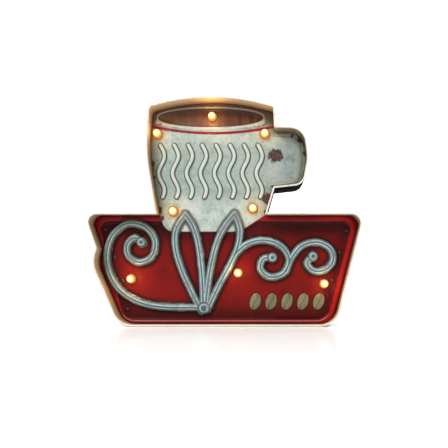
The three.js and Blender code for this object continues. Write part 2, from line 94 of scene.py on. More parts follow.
view = {
    "distance": 600, "lens": 33.3, "sensor": 36, "shiftX": -0.094, "shiftY": 0.112,
    "x": 60.4, "z": 76,
}


def addCamera():
    data = bpy.data.cameras.new("camera")
    data.lens, data.sensor_width = view["lens"], view["sensor"]
    data.shift_x, data.shift_y = view["shiftX"], view["shiftY"]
    data.clip_start, data.clip_end = 0.01, 50
    camera = bpy.data.objects.new("camera", data)
    camera.location = Vector((view["x"], bandFront - view["distance"], view["z"])) * mm
    camera.rotation_euler = (math.radians(90), 0, 0)
    scene.collection.objects.link(camera)
    scene.camera = camera


class Wire:  # a socket that takes operators
    def __init__(self, finish, socket):
        self.finish, self.socket = finish, socket

    def maths(self, kind, *others):
        return self.finish.node("ShaderNodeMath", {"operation": kind}, dict(enumerate((self, *others))))

    def __add__(self, other):
        return self.maths("ADD", other)

    def __sub__(self, other):
        return self.maths("SUBTRACT", other)

    def __rsub__(self, other):
        return self.finish.node("ShaderNodeMath", {"operation": "SUBTRACT"}, {0: other, 1: self})

    def __mul__(self, other):
        return self.maths("MULTIPLY", other)

    def __truediv__(self, other):
        return self.maths("DIVIDE", other)

    def __neg__(self):
        return self * -1

    __radd__ = __add__
    __rmul__ = __mul__

    def clamped(self):
        return self.maths("MINIMUM", 1).maths("MAXIMUM", 0)

    def size(self):
        return self.maths("ABSOLUTE")

    def step(self, low, high):  # 0 below low, 1 above high, smooth between
        settings = {"interpolation_type": "SMOOTHSTEP"}
        return self.finish.node("ShaderNodeMapRange", settings, {"Value": self, 1: low, 2: high})

    def band(self, low, high, soft):  # 1 between low and high
        return self.step(low - soft, low + soft) * (1 - self.step(high - soft, high + soft))


def fillRamp(ramp, stops):
    while len(ramp.elements) < len(stops):
        ramp.elements.new(0.5)
    for element, (position, colour) in zip(ramp.elements, stops):
        element.position = position
        element.color = (*colour, 1)


class Finish:  # a material that makes its own nodes
    def __init__(self, name):
        self.material = bpy.data.materials.new(name)
        self.material.use_nodes = True
        self.tree = self.material.node_tree
        self.tree.nodes.clear()
        self.place = self.node("ShaderNodeTexCoord", out="Object")

    def node(self, kind, settings=None, sockets=None, out=0):
        made = self.tree.nodes.new(kind)
        for key, value in (settings or {}).items():
            if key == "stops":
                fillRamp(made.color_ramp, value)
            else:
                setattr(made, key, value)
        for key, value in (sockets or {}).items():
            if isinstance(value, Wire):
                self.tree.links.new(value.socket, made.inputs[key])
            else:
                made.inputs[key].default_value = value
        return Wire(self, made.outputs[out]) if made.outputs else made

    def noise(self, scale, detail=3, rough=0.55, place=None, distortion=0):
        sockets = {"Scale": scale, "Detail": detail, "Roughness": rough, "Distortion": distortion}
        return self.node("ShaderNodeTexNoise", None, {"Vector": place or self.place, **sockets})

    def stretched(self, x, y, z):
        return self.node("ShaderNodeVectorMath", {"operation": "MULTIPLY"}, {0: self.place, 1: (x, y, z)})

    def axis(self, name):
        return self.node("ShaderNodeSeparateXYZ", None, {0: self.place}, out=name)

    def awayFrom(self, x, z):  # metres from a line that runs from front to back
        flat = self.stretched(1, 0, 1)
        settings = {"operation": "DISTANCE"}
        return self.node("ShaderNodeVectorMath", settings, {0: flat, 1: (x * mm, 0, z * mm)}, out="Value")

    def value(self, name):  # a number stored on the mesh
        return self.node("ShaderNodeAttribute", {"attribute_name": name}, out="Fac")

    def mix(self, factor, first, second, blend="MIX"):
        settings = {"data_type": "RGBA", "blend_type": blend}
        pair = [(*c, 1) if isinstance(c, tuple) else c for c in (first, second)]
        return self.node("ShaderNodeMix", settings, {0: factor, 6: pair[0], 7: pair[1]}, out=2)

    def mixed(self, factor, first, second):  # the same for plain numbers
        return self.node("ShaderNodeMix", {"data_type": "FLOAT"}, {0: factor, 2: first, 3: second})

    def ramp(self, factor, stops):
        return self.node("ShaderNodeValToRGB", {"stops": stops}, {0: factor})

    def bump(self, height, distance, strength):
        sockets = {"Height": height, "Distance": distance, "Strength": strength}
        return self.node("ShaderNodeBump", None, sockets)

    def done(self, **sockets):
        labels = {
            "colour": "Base Color", "roughness": "Roughness", "metallic": "Metallic", "normal": "Normal",
            "coat": "Coat Weight", "coatRoughness": "Coat Roughness", "glow": "Emission Color",
            "glowStrength": "Emission Strength", "gloss": "Specular IOR Level",
        }
        made = {labels[key]: value for key, value in sockets.items()}
        shader = self.node("ShaderNodeBsdfPrincipled", None, made)
        self.node("ShaderNodeOutputMaterial", None, {"Surface": shader})
        return self.material


blackColours = {
    "black": (0.0018, 0.0018, 0.0018), "dusty": (0.006, 0.0055, 0.005), "scuffed": (0.022, 0.021, 0.019),
}


def blackEnamel():
    f = Finish("black_enamel")
    dust = f.noise(60, 5, 0.6)
    scuffs = f.noise(220, 2, 0.5, f.stretched(0.3, 1, 3)).step(0.62, 0.75)
    colour = f.mix(dust.step(0.45, 0.8) * 0.5, blackColours["black"], blackColours["dusty"])
    colour = f.mix(scuffs * 0.3, colour, blackColours["scuffed"])
    normal = f.bump(f.noise(900, 2, 0.5), 0.00008, 0.35)
    return f.done(colour=colour, roughness=0.62 + dust * 0.2, normal=normal, gloss=0.004)


creamColours = {
    "cream": (0.56, 0.44, 0.29), "deep": (0.44, 0.33, 0.20), "grime": (0.22, 0.14, 0.07),
    "recessShade": (0.13, 0.07, 0.035), "handle": (0.13, 0.11, 0.075), "rubbed": (0.78, 0.74, 0.66),
    "chipped": (0.17, 0.11, 0.07),
}


def creamEnamel():
    f = Finish("cream_enamel")
    broad = f.noise(14, 4, 0.6)
    fine = f.noise(160, 4, 0.65)
    depth = f.axis("Y")
    colour = f.mix(broad, creamColours["cream"], creamColours["deep"])
    grime = (fine.step(0.5, 0.75) * broad.step(0.35, 0.7)).clamped()
    colour = f.mix(grime * 0.5, colour, creamColours["grime"])
    low = depth.step(-0.014, 0.004)  # painted shade: darker deep in the recess, where the plate meets the wall
    colour = f.mix(low * 0.85, colour, creamColours["recessShade"])
    # painted shade: the wall round the handle is darker
    inHandle = f.axis("X").step(0.066, 0.078) * f.axis("Z").step(0.19, 0.205)
    colour = f.mix(inHandle * 0.7, colour, creamColours["handle"])
    front = 1 - depth.step(-0.0218, -0.0188)  # painted highlight: the front hem is painted brighter
    colour = f.mix(front * 0.85, colour, creamColours["rubbed"])
    chips = f.noise(330, 3, 0.7).step(0.62, 0.66) * front
    colour = f.mix(chips * 0.8, colour, creamColours["chipped"])
    height = f.noise(500, 2, 0.5) * 0.4 + fine * 0.6
    normal = f.bump(height, 0.00015, 0.4)
    return f.done(colour=colour, roughness=0.32 + fine * 0.25, normal=normal, gloss=0.4)


backColours = {
    "dark": (0.20, 0.20, 0.19), "light": (0.29, 0.28, 0.26), "rubbed": (0.42, 0.41, 0.39),
    "rust": (0.16, 0.07, 0.03),
}


def primedBack():
    f = Finish("primed_back")
    broad, fine = f.noise(9, 5, 0.6), f.noise(120, 4, 0.6)
    rubs = f.noise(45, 3, 0.6, f.stretched(1, 1, 0.25)).step(0.6, 0.7)
    colour = f.mix(broad, backColours["dark"], backColours["light"])
    colour = f.mix(rubs * 0.35, colour, backColours["rubbed"])
    rust = (fine.step(0.6, 0.72) * broad.step(0.5, 0.62)).clamped()
    colour = f.mix(rust * 0.8, colour, backColours["rust"])
    roughness, metallic = 0.42 + fine * 0.2 + rust * 0.25, 0.65 - rust * 0.6
    return f.done(colour=colour, roughness=roughness, metallic=metallic, normal=f.bump(fine, 0.0002, 0.5))


zincColours = {
    "dark": (0.42, 0.43, 0.44), "light": (0.66, 0.66, 0.65),
}


def zincSteel():
    f = Finish("zinc_steel")
    cells = f.node("ShaderNodeTexVoronoi", {"feature": "F1"}, {"Vector": f.place, "Scale": 260}, out="Color")
    flake = f.node("ShaderNodeSeparateColor", None, {0: cells})
    streak = f.noise(300, 3, 0.6, f.stretched(1, 1, 0.15))
    colour = f.mix(flake * 0.6 + streak * 0.3, zincColours["dark"], zincColours["light"])
    normal = f.bump(streak, 0.00006, 0.5)
    return f.done(colour=colour, roughness=0.30 + flake * 0.16, metallic=0.92, normal=normal)


nickelColours = {
    "dark": (0.66, 0.63, 0.56), "light": (0.80, 0.78, 0.72),
}


def nickelStrip():
    f = Finish("nickel_strip")
    streak = f.noise(500, 3, 0.6, f.stretched(1, 0.1, 1))
    colour = f.mix(streak, nickelColours["dark"], nickelColours["light"])
    normal = f.bump(streak, 0.00004, 0.4)
    return f.done(colour=colour, roughness=0.22 + streak * 0.14, metallic=1.0, normal=normal)


resinColours = {
    "pale": (0.80, 0.74, 0.52), "deep": (0.66, 0.60, 0.42), "glow": (1.0, 0.80, 0.42),
    "warmGlow": (1.0, 0.70, 0.30),
}


def lampResin():
    f = Finish("lamp_resin")
    cloud = f.noise(300, 3, 0.6)
    colour = f.mix(cloud, resinColours["pale"], resinColours["deep"])
    glow = f.mix(cloud, resinColours["glow"], resinColours["warmGlow"])
    return f.done(colour=colour, roughness=0.12 + cloud * 0.1, glow=glow, glowStrength=0.8, gloss=0.5)


mouldingColours = {
    "black": (0.014, 0.014, 0.015), "dusty": (0.045, 0.043, 0.04),
}


def blackMoulding():
    f = Finish("black_moulding")
    grain = f.noise(1500, 2, 0.6)
    dust = f.noise(35, 4, 0.6)
    colour = f.mix(dust.step(0.45, 0.8) * 0.5, mouldingColours["black"], mouldingColours["dusty"])
    return f.done(colour=colour, roughness=0.42 + grain * 0.2, normal=f.bump(grain, 0.0001, 0.6), gloss=0.45)


sleeveColours = {
    "copper": (0.52, 0.30, 0.10), "blue": (0.035, 0.07, 0.15), "scratched": (0.6, 0.6, 0.6),
}


def cellSleeve():
    f = Finish("cell_sleeve")
    low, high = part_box("aa_cell_1")
    along = f.axis("X")
    split = low.x + (high.x - low.x) * 0.3
    cap = along.step(split - 0.0004, split)
    scratch = f.noise(400, 3, 0.6, f.stretched(0.2, 1, 1)).step(0.6, 0.68)
    colour = f.mix(cap, sleeveColours["copper"], sleeveColours["blue"])
    colour = f.mix(scratch * 0.25, colour, sleeveColours["scratched"])
    return f.done(colour=colour, roughness=0.25 + scratch * 0.2, metallic=0.3, coat=0.5, coatRoughness=0.1)


insulationColours = {  # clean and dusty
    "red": ((0.30, 0.012, 0.010), (0.42, 0.05, 0.04)),
    "black": ((0.010, 0.010, 0.011), (0.035, 0.034, 0.032)),
}


def insulation(name):
    f = Finish(name + "_insulation")
    dust = f.noise(90, 4, 0.6)
    colour = f.mix(dust.step(0.4, 0.8), *insulationColours[name])
    return f.done(colour=colour, roughness=0.38 + dust * 0.2, normal=f.bump(f.noise(900), 0.00005, 0.4))


rivetColours = {
    "red": (0.035, 0.004, 0.004), "worn": (0.13, 0.04, 0.035),
}


def rivetPaint():
    f = Finish("rivet_paint")
    fine = f.noise(600, 3, 0.6)
    worn = fine.step(0.56, 0.66)
    colour = f.mix(worn, rivetColours["red"], rivetColours["worn"])
    return f.done(colour=colour, roughness=0.28 + fine * 0.2, normal=f.bump(fine, 0.0001, 0.4), gloss=0.5)


# outlines in the sign's plane, in millimetres: x, z, corner radius
bannerTop = 165.5
outlineCorners = [  # radius 0 is a weld between two strips of the band
    (60, 0, 0), (162.5, 0, 30), (204.5, bannerTop, 16), (62.5, bannerTop, 0),
    (72.9, 200.8, 0), (115.5, 205.5, 18), (123, 246, 60), (117, 289.8, 25), (74.5, 291.5, 0),
    (73, 321, 6), (-20, 344.5, 300), (-111.5, 321, 10), (-116, 254, 250),
    (-101.4, bannerTop, 0), (-205.3, bannerTop, 14), (-187.8, 113.7, 0), (-194, 91.5, 40), (-154.2, 0, 30),
]
fieldCorners = [
    (152, 6.7, 20), (191, 156, 12), (47, 156, 2), (21.5, 139.6, 40), (-90.5, 139.6, 18), (-97, 156, 2),
    (-193, 156, 12), (-153, 6.7, 20),
]
footCorners = [  # the round bottom of the cup, closed off inside the cup
    (-101.4, 240, 0), (-101.4, 166, 0), (-91, 139.5, 20), (20, 139.5, 42), (62.5, 167, 0), (62.5, 240, 0),
]


def fillet(before, corner, after, spacing):
    here, radius = np.array(corner[:2], float), corner[2]
    if radius == 0:
        return [here]
    back = np.array(before[:2]) - here
    ahead = np.array(after[:2]) - here
    back, ahead = back / np.linalg.norm(back), ahead / np.linalg.norm(ahead)
    half = math.acos(np.clip(back @ ahead, -1, 1)) / 2
    inner = (back + ahead) / np.linalg.norm(back + ahead)
    centre = here + inner * radius / math.sin(half)
    start = here + back * radius / math.tan(half) - centre
    end = here + ahead * radius / math.tan(half) - centre
    first = math.atan2(start[1], start[0])
    turn = math.atan2(start[0] * end[1] - start[1] * end[0], start @ end)
    steps = max(4, math.ceil(abs(turn) * radius / spacing))
    angles = first + turn * np.arange(steps + 1) / steps
    return [centre + radius * np.array((math.cos(a), math.sin(a))) for a in angles]


def roundLoop(corners, spacing=1.5):
    count = len(corners)
    loop = []
    for i, corner in enumerate(corners):
        loop += fillet(corners[i - 1], corner, corners[(i + 1) % count], spacing)
    return np.array(loop)


def inwards(loop, distance):  # a closed anticlockwise line moved inwards
    before = loop - np.roll(loop, 1, 0)
    before /= np.linalg.norm(before, axis=1)[:, None]
    after = np.roll(before, -1, 0)
    normal = np.stack((-before[:, 1] - after[:, 1], before[:, 0] + after[:, 0]), 1)
    return loop + normal * (distance / (1 + (before * after).sum(1)))[:, None]


def dense(line, spacing, closed=True):  # the same line with more points
    ends = np.roll(line, -1, 0) if closed else line[1:]
    starts = line if closed else line[:-1]
    points = []
    for start, end in zip(starts, ends):
        steps = max(1, math.ceil(np.linalg.norm(end - start) / spacing))
        points += [start + (end - start) * i / steps for i in range(steps)]
    if not closed:
        points.append(line[-1])
    return np.array(points)


def smoothLine(points, spacing):  # centripetal curve through the points, evenly spaced
    p = np.array(points, float)
    p = np.vstack((2 * p[0] - p[1], p, 2 * p[-1] - p[-2]))
    fine = []
    for i in range(1, len(p) - 2):
        knots = [0.0]
        for a, b in zip(p[i - 1:i + 2], p[i:i + 3]):
            knots.append(knots[-1] + math.sqrt(np.linalg.norm(b - a)))
        for t in np.linspace(knots[1], knots[2], 24, endpoint=False):
            row, ks = list(p[i - 1:i + 3]), knots
            for level in range(1, 4):
                row = [
                    ((ks[j + level] - t) * row[j] + (t - ks[j]) * row[j + 1]) / (ks[j + level] - ks[j])
                    for j in range(4 - level)
                ] if level < 3 else [((ks[2] - t) * row[0] + (t - ks[1]) * row[1]) / (ks[2] - ks[1])]
            fine.append(row[0])
    fine.append(p[-2])
    fine = np.array(fine)
    lengths = np.concatenate(([0], np.cumsum(np.linalg.norm(np.diff(fine, axis=0), axis=1))))
    count = max(2, round(lengths[-1] / spacing))
    at = np.linspace(0, lengths[-1], count + 1)
    return np.stack([np.interp(at, lengths, fine[:, k]) for k in range(fine.shape[1])], 1)


def around(line, distance):  # closed line at a distance round an open line, with round ends
    ahead = np.gradient(line, axis=0)
    ahead /= np.linalg.norm(ahead, axis=1)[:, None]
    side = np.stack((-ahead[:, 1], ahead[:, 0]), 1)

    def cap(centre, direction):
        first = math.atan2(direction[1], direction[0])
        steps = max(4, round(distance * 1.6))
        angles = first - math.pi * np.arange(1, steps) / steps
        return centre + distance * np.stack((np.cos(angles), np.sin(angles)), 1)

    left, right = line + side * distance, line - side * distance
    return np.vstack((left, cap(line[-1], side[-1]), right[::-1], cap(line[0], -side[0])))


def distanceTo(points, line, closed=False):
    starts = line if closed else line[:-1]
    ends = np.roll(line, -1, 0) if closed else line[1:]
    along = ends - starts
    squares = np.maximum((along**2).sum(1), 1e-12)
    found = np.empty(len(points))
    for first in range(0, len(points), 2000):
        part = points[first:first + 2000]
        offset = part[:, None] - starts[None]
        t = np.clip((offset * along[None]).sum(2) / squares, 0, 1)
        gap = offset - along[None] * t[..., None]
        found[first:first + 2000] = np.sqrt((gap**2).sum(2).min(1))
    return found


def inside(points, loop):
    ends = np.roll(loop, -1, 0)
    hits = np.zeros(len(points), int)
    for (ax, az), (bx, bz) in zip(loop, ends):
        if az == bz:
            continue
        crosses = (points[:, 1] >= min(az, bz)) & (points[:, 1] < max(az, bz))
        hits += crosses & (points[:, 0] < ax + (points[:, 1] - az) * (bx - ax) / (bz - az))
    return hits % 2 == 1


def signedTo(points, loop):  # positive inside
    return distanceTo(points, loop, True) * np.where(inside(points, loop), 1, -1)


def ease(value, low, high):
    t = np.clip((value - low) / (high - low), 0, 1)
    return t * t * (3 - 2 * t)


outline = roundLoop(outlineCorners)
field = roundLoop(fieldCorners)
foot = roundLoop(footCorners)


def addPiece(name, verts, faces, materials, indices=None):
    mesh = bpy.data.meshes.new(name)
    mesh.from_pydata([tuple(v) for v in verts], [], [tuple(f) for f in faces])
    for material in materials:
        mesh.materials.append(material)
    if indices is not None:
        mesh.polygons.foreach_set("material_index", indices)
    mesh.polygons.foreach_set("use_smooth", [True] * len(mesh.polygons))
    mesh.update()
    piece = bpy.data.objects.new(name, mesh)
    scene.collection.objects.link(piece)
    return piece


def finishPiece(piece, slotName, *nodes, body="sign"):
    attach(piece, body)
    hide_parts(*nodes)


def sharpen(piece, degrees):  # smooth shading that breaks at corners
    bm = bmesh.new()
    bm.from_mesh(piece.data)
    for edge in bm.edges:
        edge.smooth = not (edge.is_manifold and edge.calc_face_angle(0) > math.radians(degrees))
    bm.to_mesh(piece.data)
    bm.free()


band = {"inset": 0.07, "sheet": 0.9, "hemRadius": 1.3, "flange": 3.3, "jointGap": 0.1, "hemPoints": 13}


def bandSection():  # inward distance, depth, and whether the stretch after it is on the black side
    hem, sheet = band["hemRadius"], band["sheet"]
    front, rear = bandFront, bandRear
    section = [(0.35, rear, 1), (0.1, rear - 0.1, 1), (0, rear - 0.35, 1)]
    section += [(0, front + hem + 2.2, 1), (0.12, front + hem + 1.6, 1)]
    for i in range(band["hemPoints"]):  # the hem rolls through 240 degrees
        angle = math.radians(180 + 20 * i)
        u = hem + hem * math.cos(angle)
        section.append((u, front + hem + hem * math.sin(angle), 1 if i < 1 else 0))
    section += [(sheet + 0.15, front + 2 * hem + 0.9, 0), (sheet, front + 2 * hem + 1.8, 0)]
    section += [(sheet, -8, 0), (sheet, 3.4, 0), (sheet, 12, 0), (sheet, rear - 1.5, 0)]
    section += [(sheet + 0.5, rear - 0.9, 0), (band["flange"] - 0.2, rear - 0.8, 0)]
    section += [(band["flange"], rear - 0.6, 1), (band["flange"], rear - 0.2, 1)]
    section.append((band["flange"] - 0.3, rear, 1))
    return section


def addBand(black, cream, back):
    section = bandSection()
    rings = [inwards(outline, u + band["inset"]) for u, _, _ in section]
    welds = [corner[:2] for corner in outlineCorners if corner[2] == 0]
    splits = [i for i, p in enumerate(outline) for weld in welds if np.allclose(p, weld)]
    names = [
        "band_banner_right", "band_cup_lower", "band_handle", "band_cup", "band_banner_upper_left",
        "band_banner_left",
    ]
    for name, first, last in zip(names, splits, splits[1:] + [splits[0] + len(outline)]):
        verts, faces, sides = [], [], []
        count = len(section)
        for i in range(first, last + 1):
            for (u, depth, _), ring in zip(section, rings):
                p = ring[i % len(outline)].copy()
                if i in (first, last):
                    step = ring[(i + (1 if i == first else -1)) % len(outline)] - p
                    p += step / np.linalg.norm(step) * band["jointGap"] / 2
                verts.append((p[0] * mm, depth * mm, p[1] * mm))
        for i in range(last - first):
            for j in range(count):
                k = (j + 1) % count
                a, b = i * count, (i + 1) * count
                faces.append((a + j, b + j, b + k, a + k))
                behind = section[j][1] > 3 and section[k][1] > 3
                sides.append(0 if section[j][2] else 2 if behind else 1)
        faces += [tuple(range(count)), tuple(reversed([(last - first) * count + j for j in range(count)]))]
        sides += [1, 1]
        piece = addPiece(name + "_sheet", verts, faces, [black, cream, back], indices=sides)
        outward(piece)
        sharpen(piece, 40)
        finishPiece(piece, "side_band", name)
    print("side band made")


def outward(piece):
    bm = bmesh.new()
    bm.from_mesh(piece.data)
    bmesh.ops.recalc_face_normals(bm, faces=bm.faces)
    bm.to_mesh(piece.data)
    bm.free()


# the face plate is one pressed and printed sheet
plate = {
    "front": 2.5, "field": 5.0, "sheet": 0.7, "edge": 1.3, "flangeBack": 6.0, "grid": 3.6, "crown": 0.7,
    "cupRise": 0.45, "wave": 0.12, "lineRadius": 6.5, "lineAxis": 4.5, "groove": 0.45, "domeHeight": 7.1,
    "ribHalf": 3.6, "ribRise": 1.7, "ribRound": 0.25, "capHole": 5.8, "capRing": 7.6, "rivetHole": 1.8,
}
coffee = {"x": -22.9, "z": 311.3, "halfWidth": 78, "halfHeight": 13.5, "drop": 1.5, "bead": 1.1}
pad = {"inset": 8, "rise": 1.0, "from": 62, "to": 84}
bosses = [(-33, 25, 10), (-127, 124, 8.5), (70, 101, 8.5), (131, 103, 8.5)]  # x, z, radius
ribs = {"count": 8, "x": -97, "z": 192, "pitch": 21, "height": 78, "sway": 4.5}
beans = {
    "count": 5, "x": 44, "z": 34.5, "pitch": 24, "halfWidth": 8.5, "halfHeight": 13, "tilt": -0.3,
    "rise": 1.9, "crease": 0.9,
}
stripe = {"x": -19, "z": 728, "radius": 439.5, "half": 2.1}
scrollLines = [  # a volute, two pointed leaves of two lines each, two curls
    [(-34, 26), (-66, 26), (-98, 27), (-130, 34), (-157, 50), (-174, 76), (-179, 105), (-170, 135),
     (-147, 152), (-120, 146), (-106, 124), (-112, 102), (-131, 94), (-147, 104), (-148, 121), (-137, 131),
     (-127, 124)],
    [(-37, 20), (-52, 50), (-67, 84), (-76, 116), (-75, 142), (-61, 166)],
    [(-34, 24), (-35, 60), (-38, 96), (-43, 128), (-50, 149), (-61, 166)],
    [(-31, 24), (-27, 60), (-21, 96), (-12, 128), (-1, 149), (13, 167)],
    [(-28, 22), (-10, 60), (7, 92), (18, 118), (21, 144), (13, 167)],
    [(13, 106), (31, 121), (56, 127), (82, 119), (95, 98), (86, 77), (66, 72), (52, 84), (56, 99),
     (70, 101)],
    [(90, 80), (99, 101), (115, 119), (138, 124), (157, 114), (161, 97), (150, 83), (132, 81), (122, 93),
     (131, 103)],
]


def ellipse(spec, grow, spacing=2.0, turn=0):
    a, b = spec["halfWidth"] + grow, spec["halfHeight"] + grow
    count = max(16, round(math.pi * (a + b) / spacing))
    t = np.linspace(0, 2 * math.pi, count, endpoint=False)
    x, z = a * np.cos(t), b * np.sin(t)
    c, s = math.cos(turn), math.sin(turn)
    return np.stack((spec["x"] + x * c - z * s, spec["z"] + x * s + z * c), 1)


def ellipseGap(points, spec, turn=0):  # nearly the distance outside an ellipse, negative inside
    c, s = math.cos(turn), math.sin(turn)
    dx, dz = points[:, 0] - spec["x"], points[:, 1] - spec["z"]
    x, z = dx * c + dz * s, -dx * s + dz * c
    a, b = spec["halfWidth"], spec["halfHeight"]
    e = np.sqrt((x / a)**2 + (z / b)**2)
    slope = np.sqrt((x / a**2)**2 + (z / b**2)**2)
    return (e - 1) * e / np.maximum(slope, 1e-9)


def ribLine(number):
    t = np.linspace(0, 1, 40)
    x = ribs["x"] + ribs["pitch"] * number + ribs["sway"] * np.sin(t * math.pi * 3 + 0.4)
    return dense(np.stack((x, ribs["z"] + ribs["height"] * t), 1), 2.0, False)


def beanCrease(spec):
    t = np.linspace(-0.92, 0.92, 15)
    x, z = 1.6 * np.sin(t * math.pi), spec["halfHeight"] * t
    c, s = math.cos(beans["tilt"]), math.sin(beans["tilt"])
    return np.stack((spec["x"] + x * c - z * s, spec["z"] + x * s + z * c), 1)


def circle(x, z, radius, count):
    t = np.linspace(0, 2 * math.pi, count, endpoint=False)
    return np.stack((x + radius * np.cos(t), z + radius * np.sin(t)), 1)


def domed(across):  # a half circle's height: 1 in the middle, 0 at 1
    return np.sqrt(np.clip(1 - across**2, 0, 1))


def awayFrom(points, x, z):
    return np.hypot(points[:, 0] - x, points[:, 1] - z)


class PlateShape:  # distances from printed and pressed features, at points of the plate
    def __init__(self, points):
        self.points = points
        self.rim = signedTo(points, outline) - plate["edge"]
        self.field = signedTo(points, field)
        self.foot = np.maximum(signedTo(points, foot), points[:, 1] - bannerTop)
        self.line = np.min([distanceTo(points, line) for line in smoothLines], 0)
        self.rib = np.min([distanceTo(points, line) for line in ribPaths], 0)
        self.bean = np.min([ellipseGap(points, spec, beans["tilt"]) for spec in beanSpecs], 0)
        self.crease = np.min([distanceTo(points, line) for line in creasePaths], 0)
        self.coffee = ellipseGap(points, coffee)
        self.pad = np.minimum(self.rim - pad["inset"], (points[:, 0] - pad["from"]) / 2)
        self.boss = np.min([awayFrom(points, x, z) - radius for x, z, radius in bosses], 0)
        self.rivet = np.min([awayFrom(points, x, z) for x, z in rivetPlaces], 0)
        self.lamp = np.min([awayFrom(points, x, z) for x, z in lampPlaces], 0)
        self.stripe = np.abs(awayFrom(points, stripe["x"], stripe["z"]) - stripe["radius"])

    def depth(self):
        x, z = self.points.T
        cup = ease(self.foot, -0.4, 0.5)
        base = plate["front"] + (plate["field"] - plate["front"]) * ease(self.field, 0.1, 2.0)
        across = self.rim / np.maximum(self.rim + np.maximum(-self.field, 0), 0.01)
        crown = np.where((self.field < 0) & (self.rim > 0), 4 * across * (1 - across), 0)
        base = base - plate["crown"] * crown * (1 - cup)
        base = base - plate["cupRise"] * cup * ease(self.rim, 0, 3)
        bead = np.clip(1 - ((self.coffee - 2.2) / 2.4)**2, 0, 1)
        base = base - coffee["bead"] * bead
        base = base + (coffee["drop"] + plate["cupRise"]) * ease(-self.coffee, -0.6, 1.4)
        fade = ease(x, pad["from"], pad["to"])
        base = base - pad["rise"] * fade * (ease(self.pad, 0, 2.2) - 0.7 * ease(self.pad, 4, 13))
        base = base + plate["wave"] * np.sin(x * 0.045 + 1) * np.sin(z * 0.052 + 0.5)
        rib = plate["ribRise"] * ease(-self.rib, -plate["ribHalf"] - 0.2, -plate["ribHalf"] + 1.2)
        base = base - rib - plate["ribRound"] * domed(self.rib / plate["ribHalf"])
        bean = np.sqrt(np.clip(-self.bean / beans["halfWidth"], 0, 1))
        base = base - beans["rise"] * bean
        base = base + beans["crease"] * ease(-self.crease, -1.3, -0.2) * (self.bean < -0.6)
        radius = plate["lineRadius"]
        tube = plate["lineAxis"] - radius * domed(self.line / radius)
        tube = tube + plate["groove"] * ease(self.line, 0.9, 1.7) * (1 - ease(self.line, 2.0, 3.2))
        base = np.where(self.line < radius, np.minimum(base, tube), base)
        for bossX, bossZ, bossRadius in bosses:
            away = awayFrom(self.points, bossX, bossZ) / bossRadius
            dome = plate["lineAxis"] - plate["domeHeight"] * domed(away)
            base = np.where(away < 1, np.minimum(base, dome), base)
        return base

    def kinds(self):  # which paint lies here
        kind = np.full(len(self.points), "cup", object)
        banner = self.foot < 0
        kind[banner] = "border"
        kind[banner & (self.field > 1.0)] = "field"
        kind[(self.stripe < stripe["half"]) & (self.points[:, 1] > 200)] = "stripe"
        kind[self.coffee < 4.6] = "rim"
        kind[self.coffee < 0.2] = "coffee"
        kind[self.rib < plate["ribHalf"] + 0.1] = "rib"
        kind[self.bean < 0] = "bean"
        kind[(self.line < plate["lineRadius"]) | (self.boss < 0)] = "tube"
        return kind


smoothLines = [smoothLine(points, 2.2) for points in scrollLines]
ribPaths = [ribLine(i) for i in range(ribs["count"])]
beanSpecs = [{**beans, "x": beans["x"] + beans["pitch"] * i} for i in range(beans["count"])]
creasePaths = [beanCrease(spec) for spec in beanSpecs]


def plateContours():
    edge = inwards(outline, plate["edge"])
    loops = [dense(inwards(edge, d), 2.5) for d in (0, 0.8, 2.0)]
    loops += [dense(inwards(field, d), 2.2) for d in (0.1, 0.7, 1.4, 2.0)]
    loops += [ellipse(coffee, d) for d in (4.6, 3.4, 2.2, 1.0, 0.2, -0.5, -1.4)]
    for x, z, radius in bosses:
        for part in (1.05, 1, 0.95, 0.8, 0.6, 0.35):
            loops.append(circle(x, z, radius * part, max(8, round(40 * part))))
    for spec, crease in zip(beanSpecs, creasePaths):
        loops += [ellipse(spec, d, 1.4, beans["tilt"]) for d in (0, -0.5, -1.5, -3.5)]
        loops.append(around(crease, 0.9))
    for line in ribPaths:
        loops += [around(line, plate["ribHalf"] + d) for d in (1.6, 0.2, -0.5, -1.2)]
    for line in smoothLines:
        loops += [around(line, r) for r in (6.9, 6.5, 6.2, 5.4, 4.2, 3.2, 2.0, 1.2)]
    return edge, loops


def plateLines():
    t = np.linspace(-0.215, 0.215, 90)
    handle = [inwards(outline, plate["edge"] + pad["inset"] + d) for d in (0, 1.1, 2.2)]
    handle = [line[(line[:, 0] > 72) & (line[:, 1] > 200)] for line in handle]
    arcs = []
    for side in (-1, 1):
        r = stripe["radius"] + side * stripe["half"]
        arcs.append(np.stack((stripe["x"] + r * np.sin(t), stripe["z"] - r * np.cos(t)), 1))
    footLine = dense(foot, 2.0)
    return arcs + handle + [footLine[(footLine[:, 1] < 175)]] + smoothLines + ribPaths


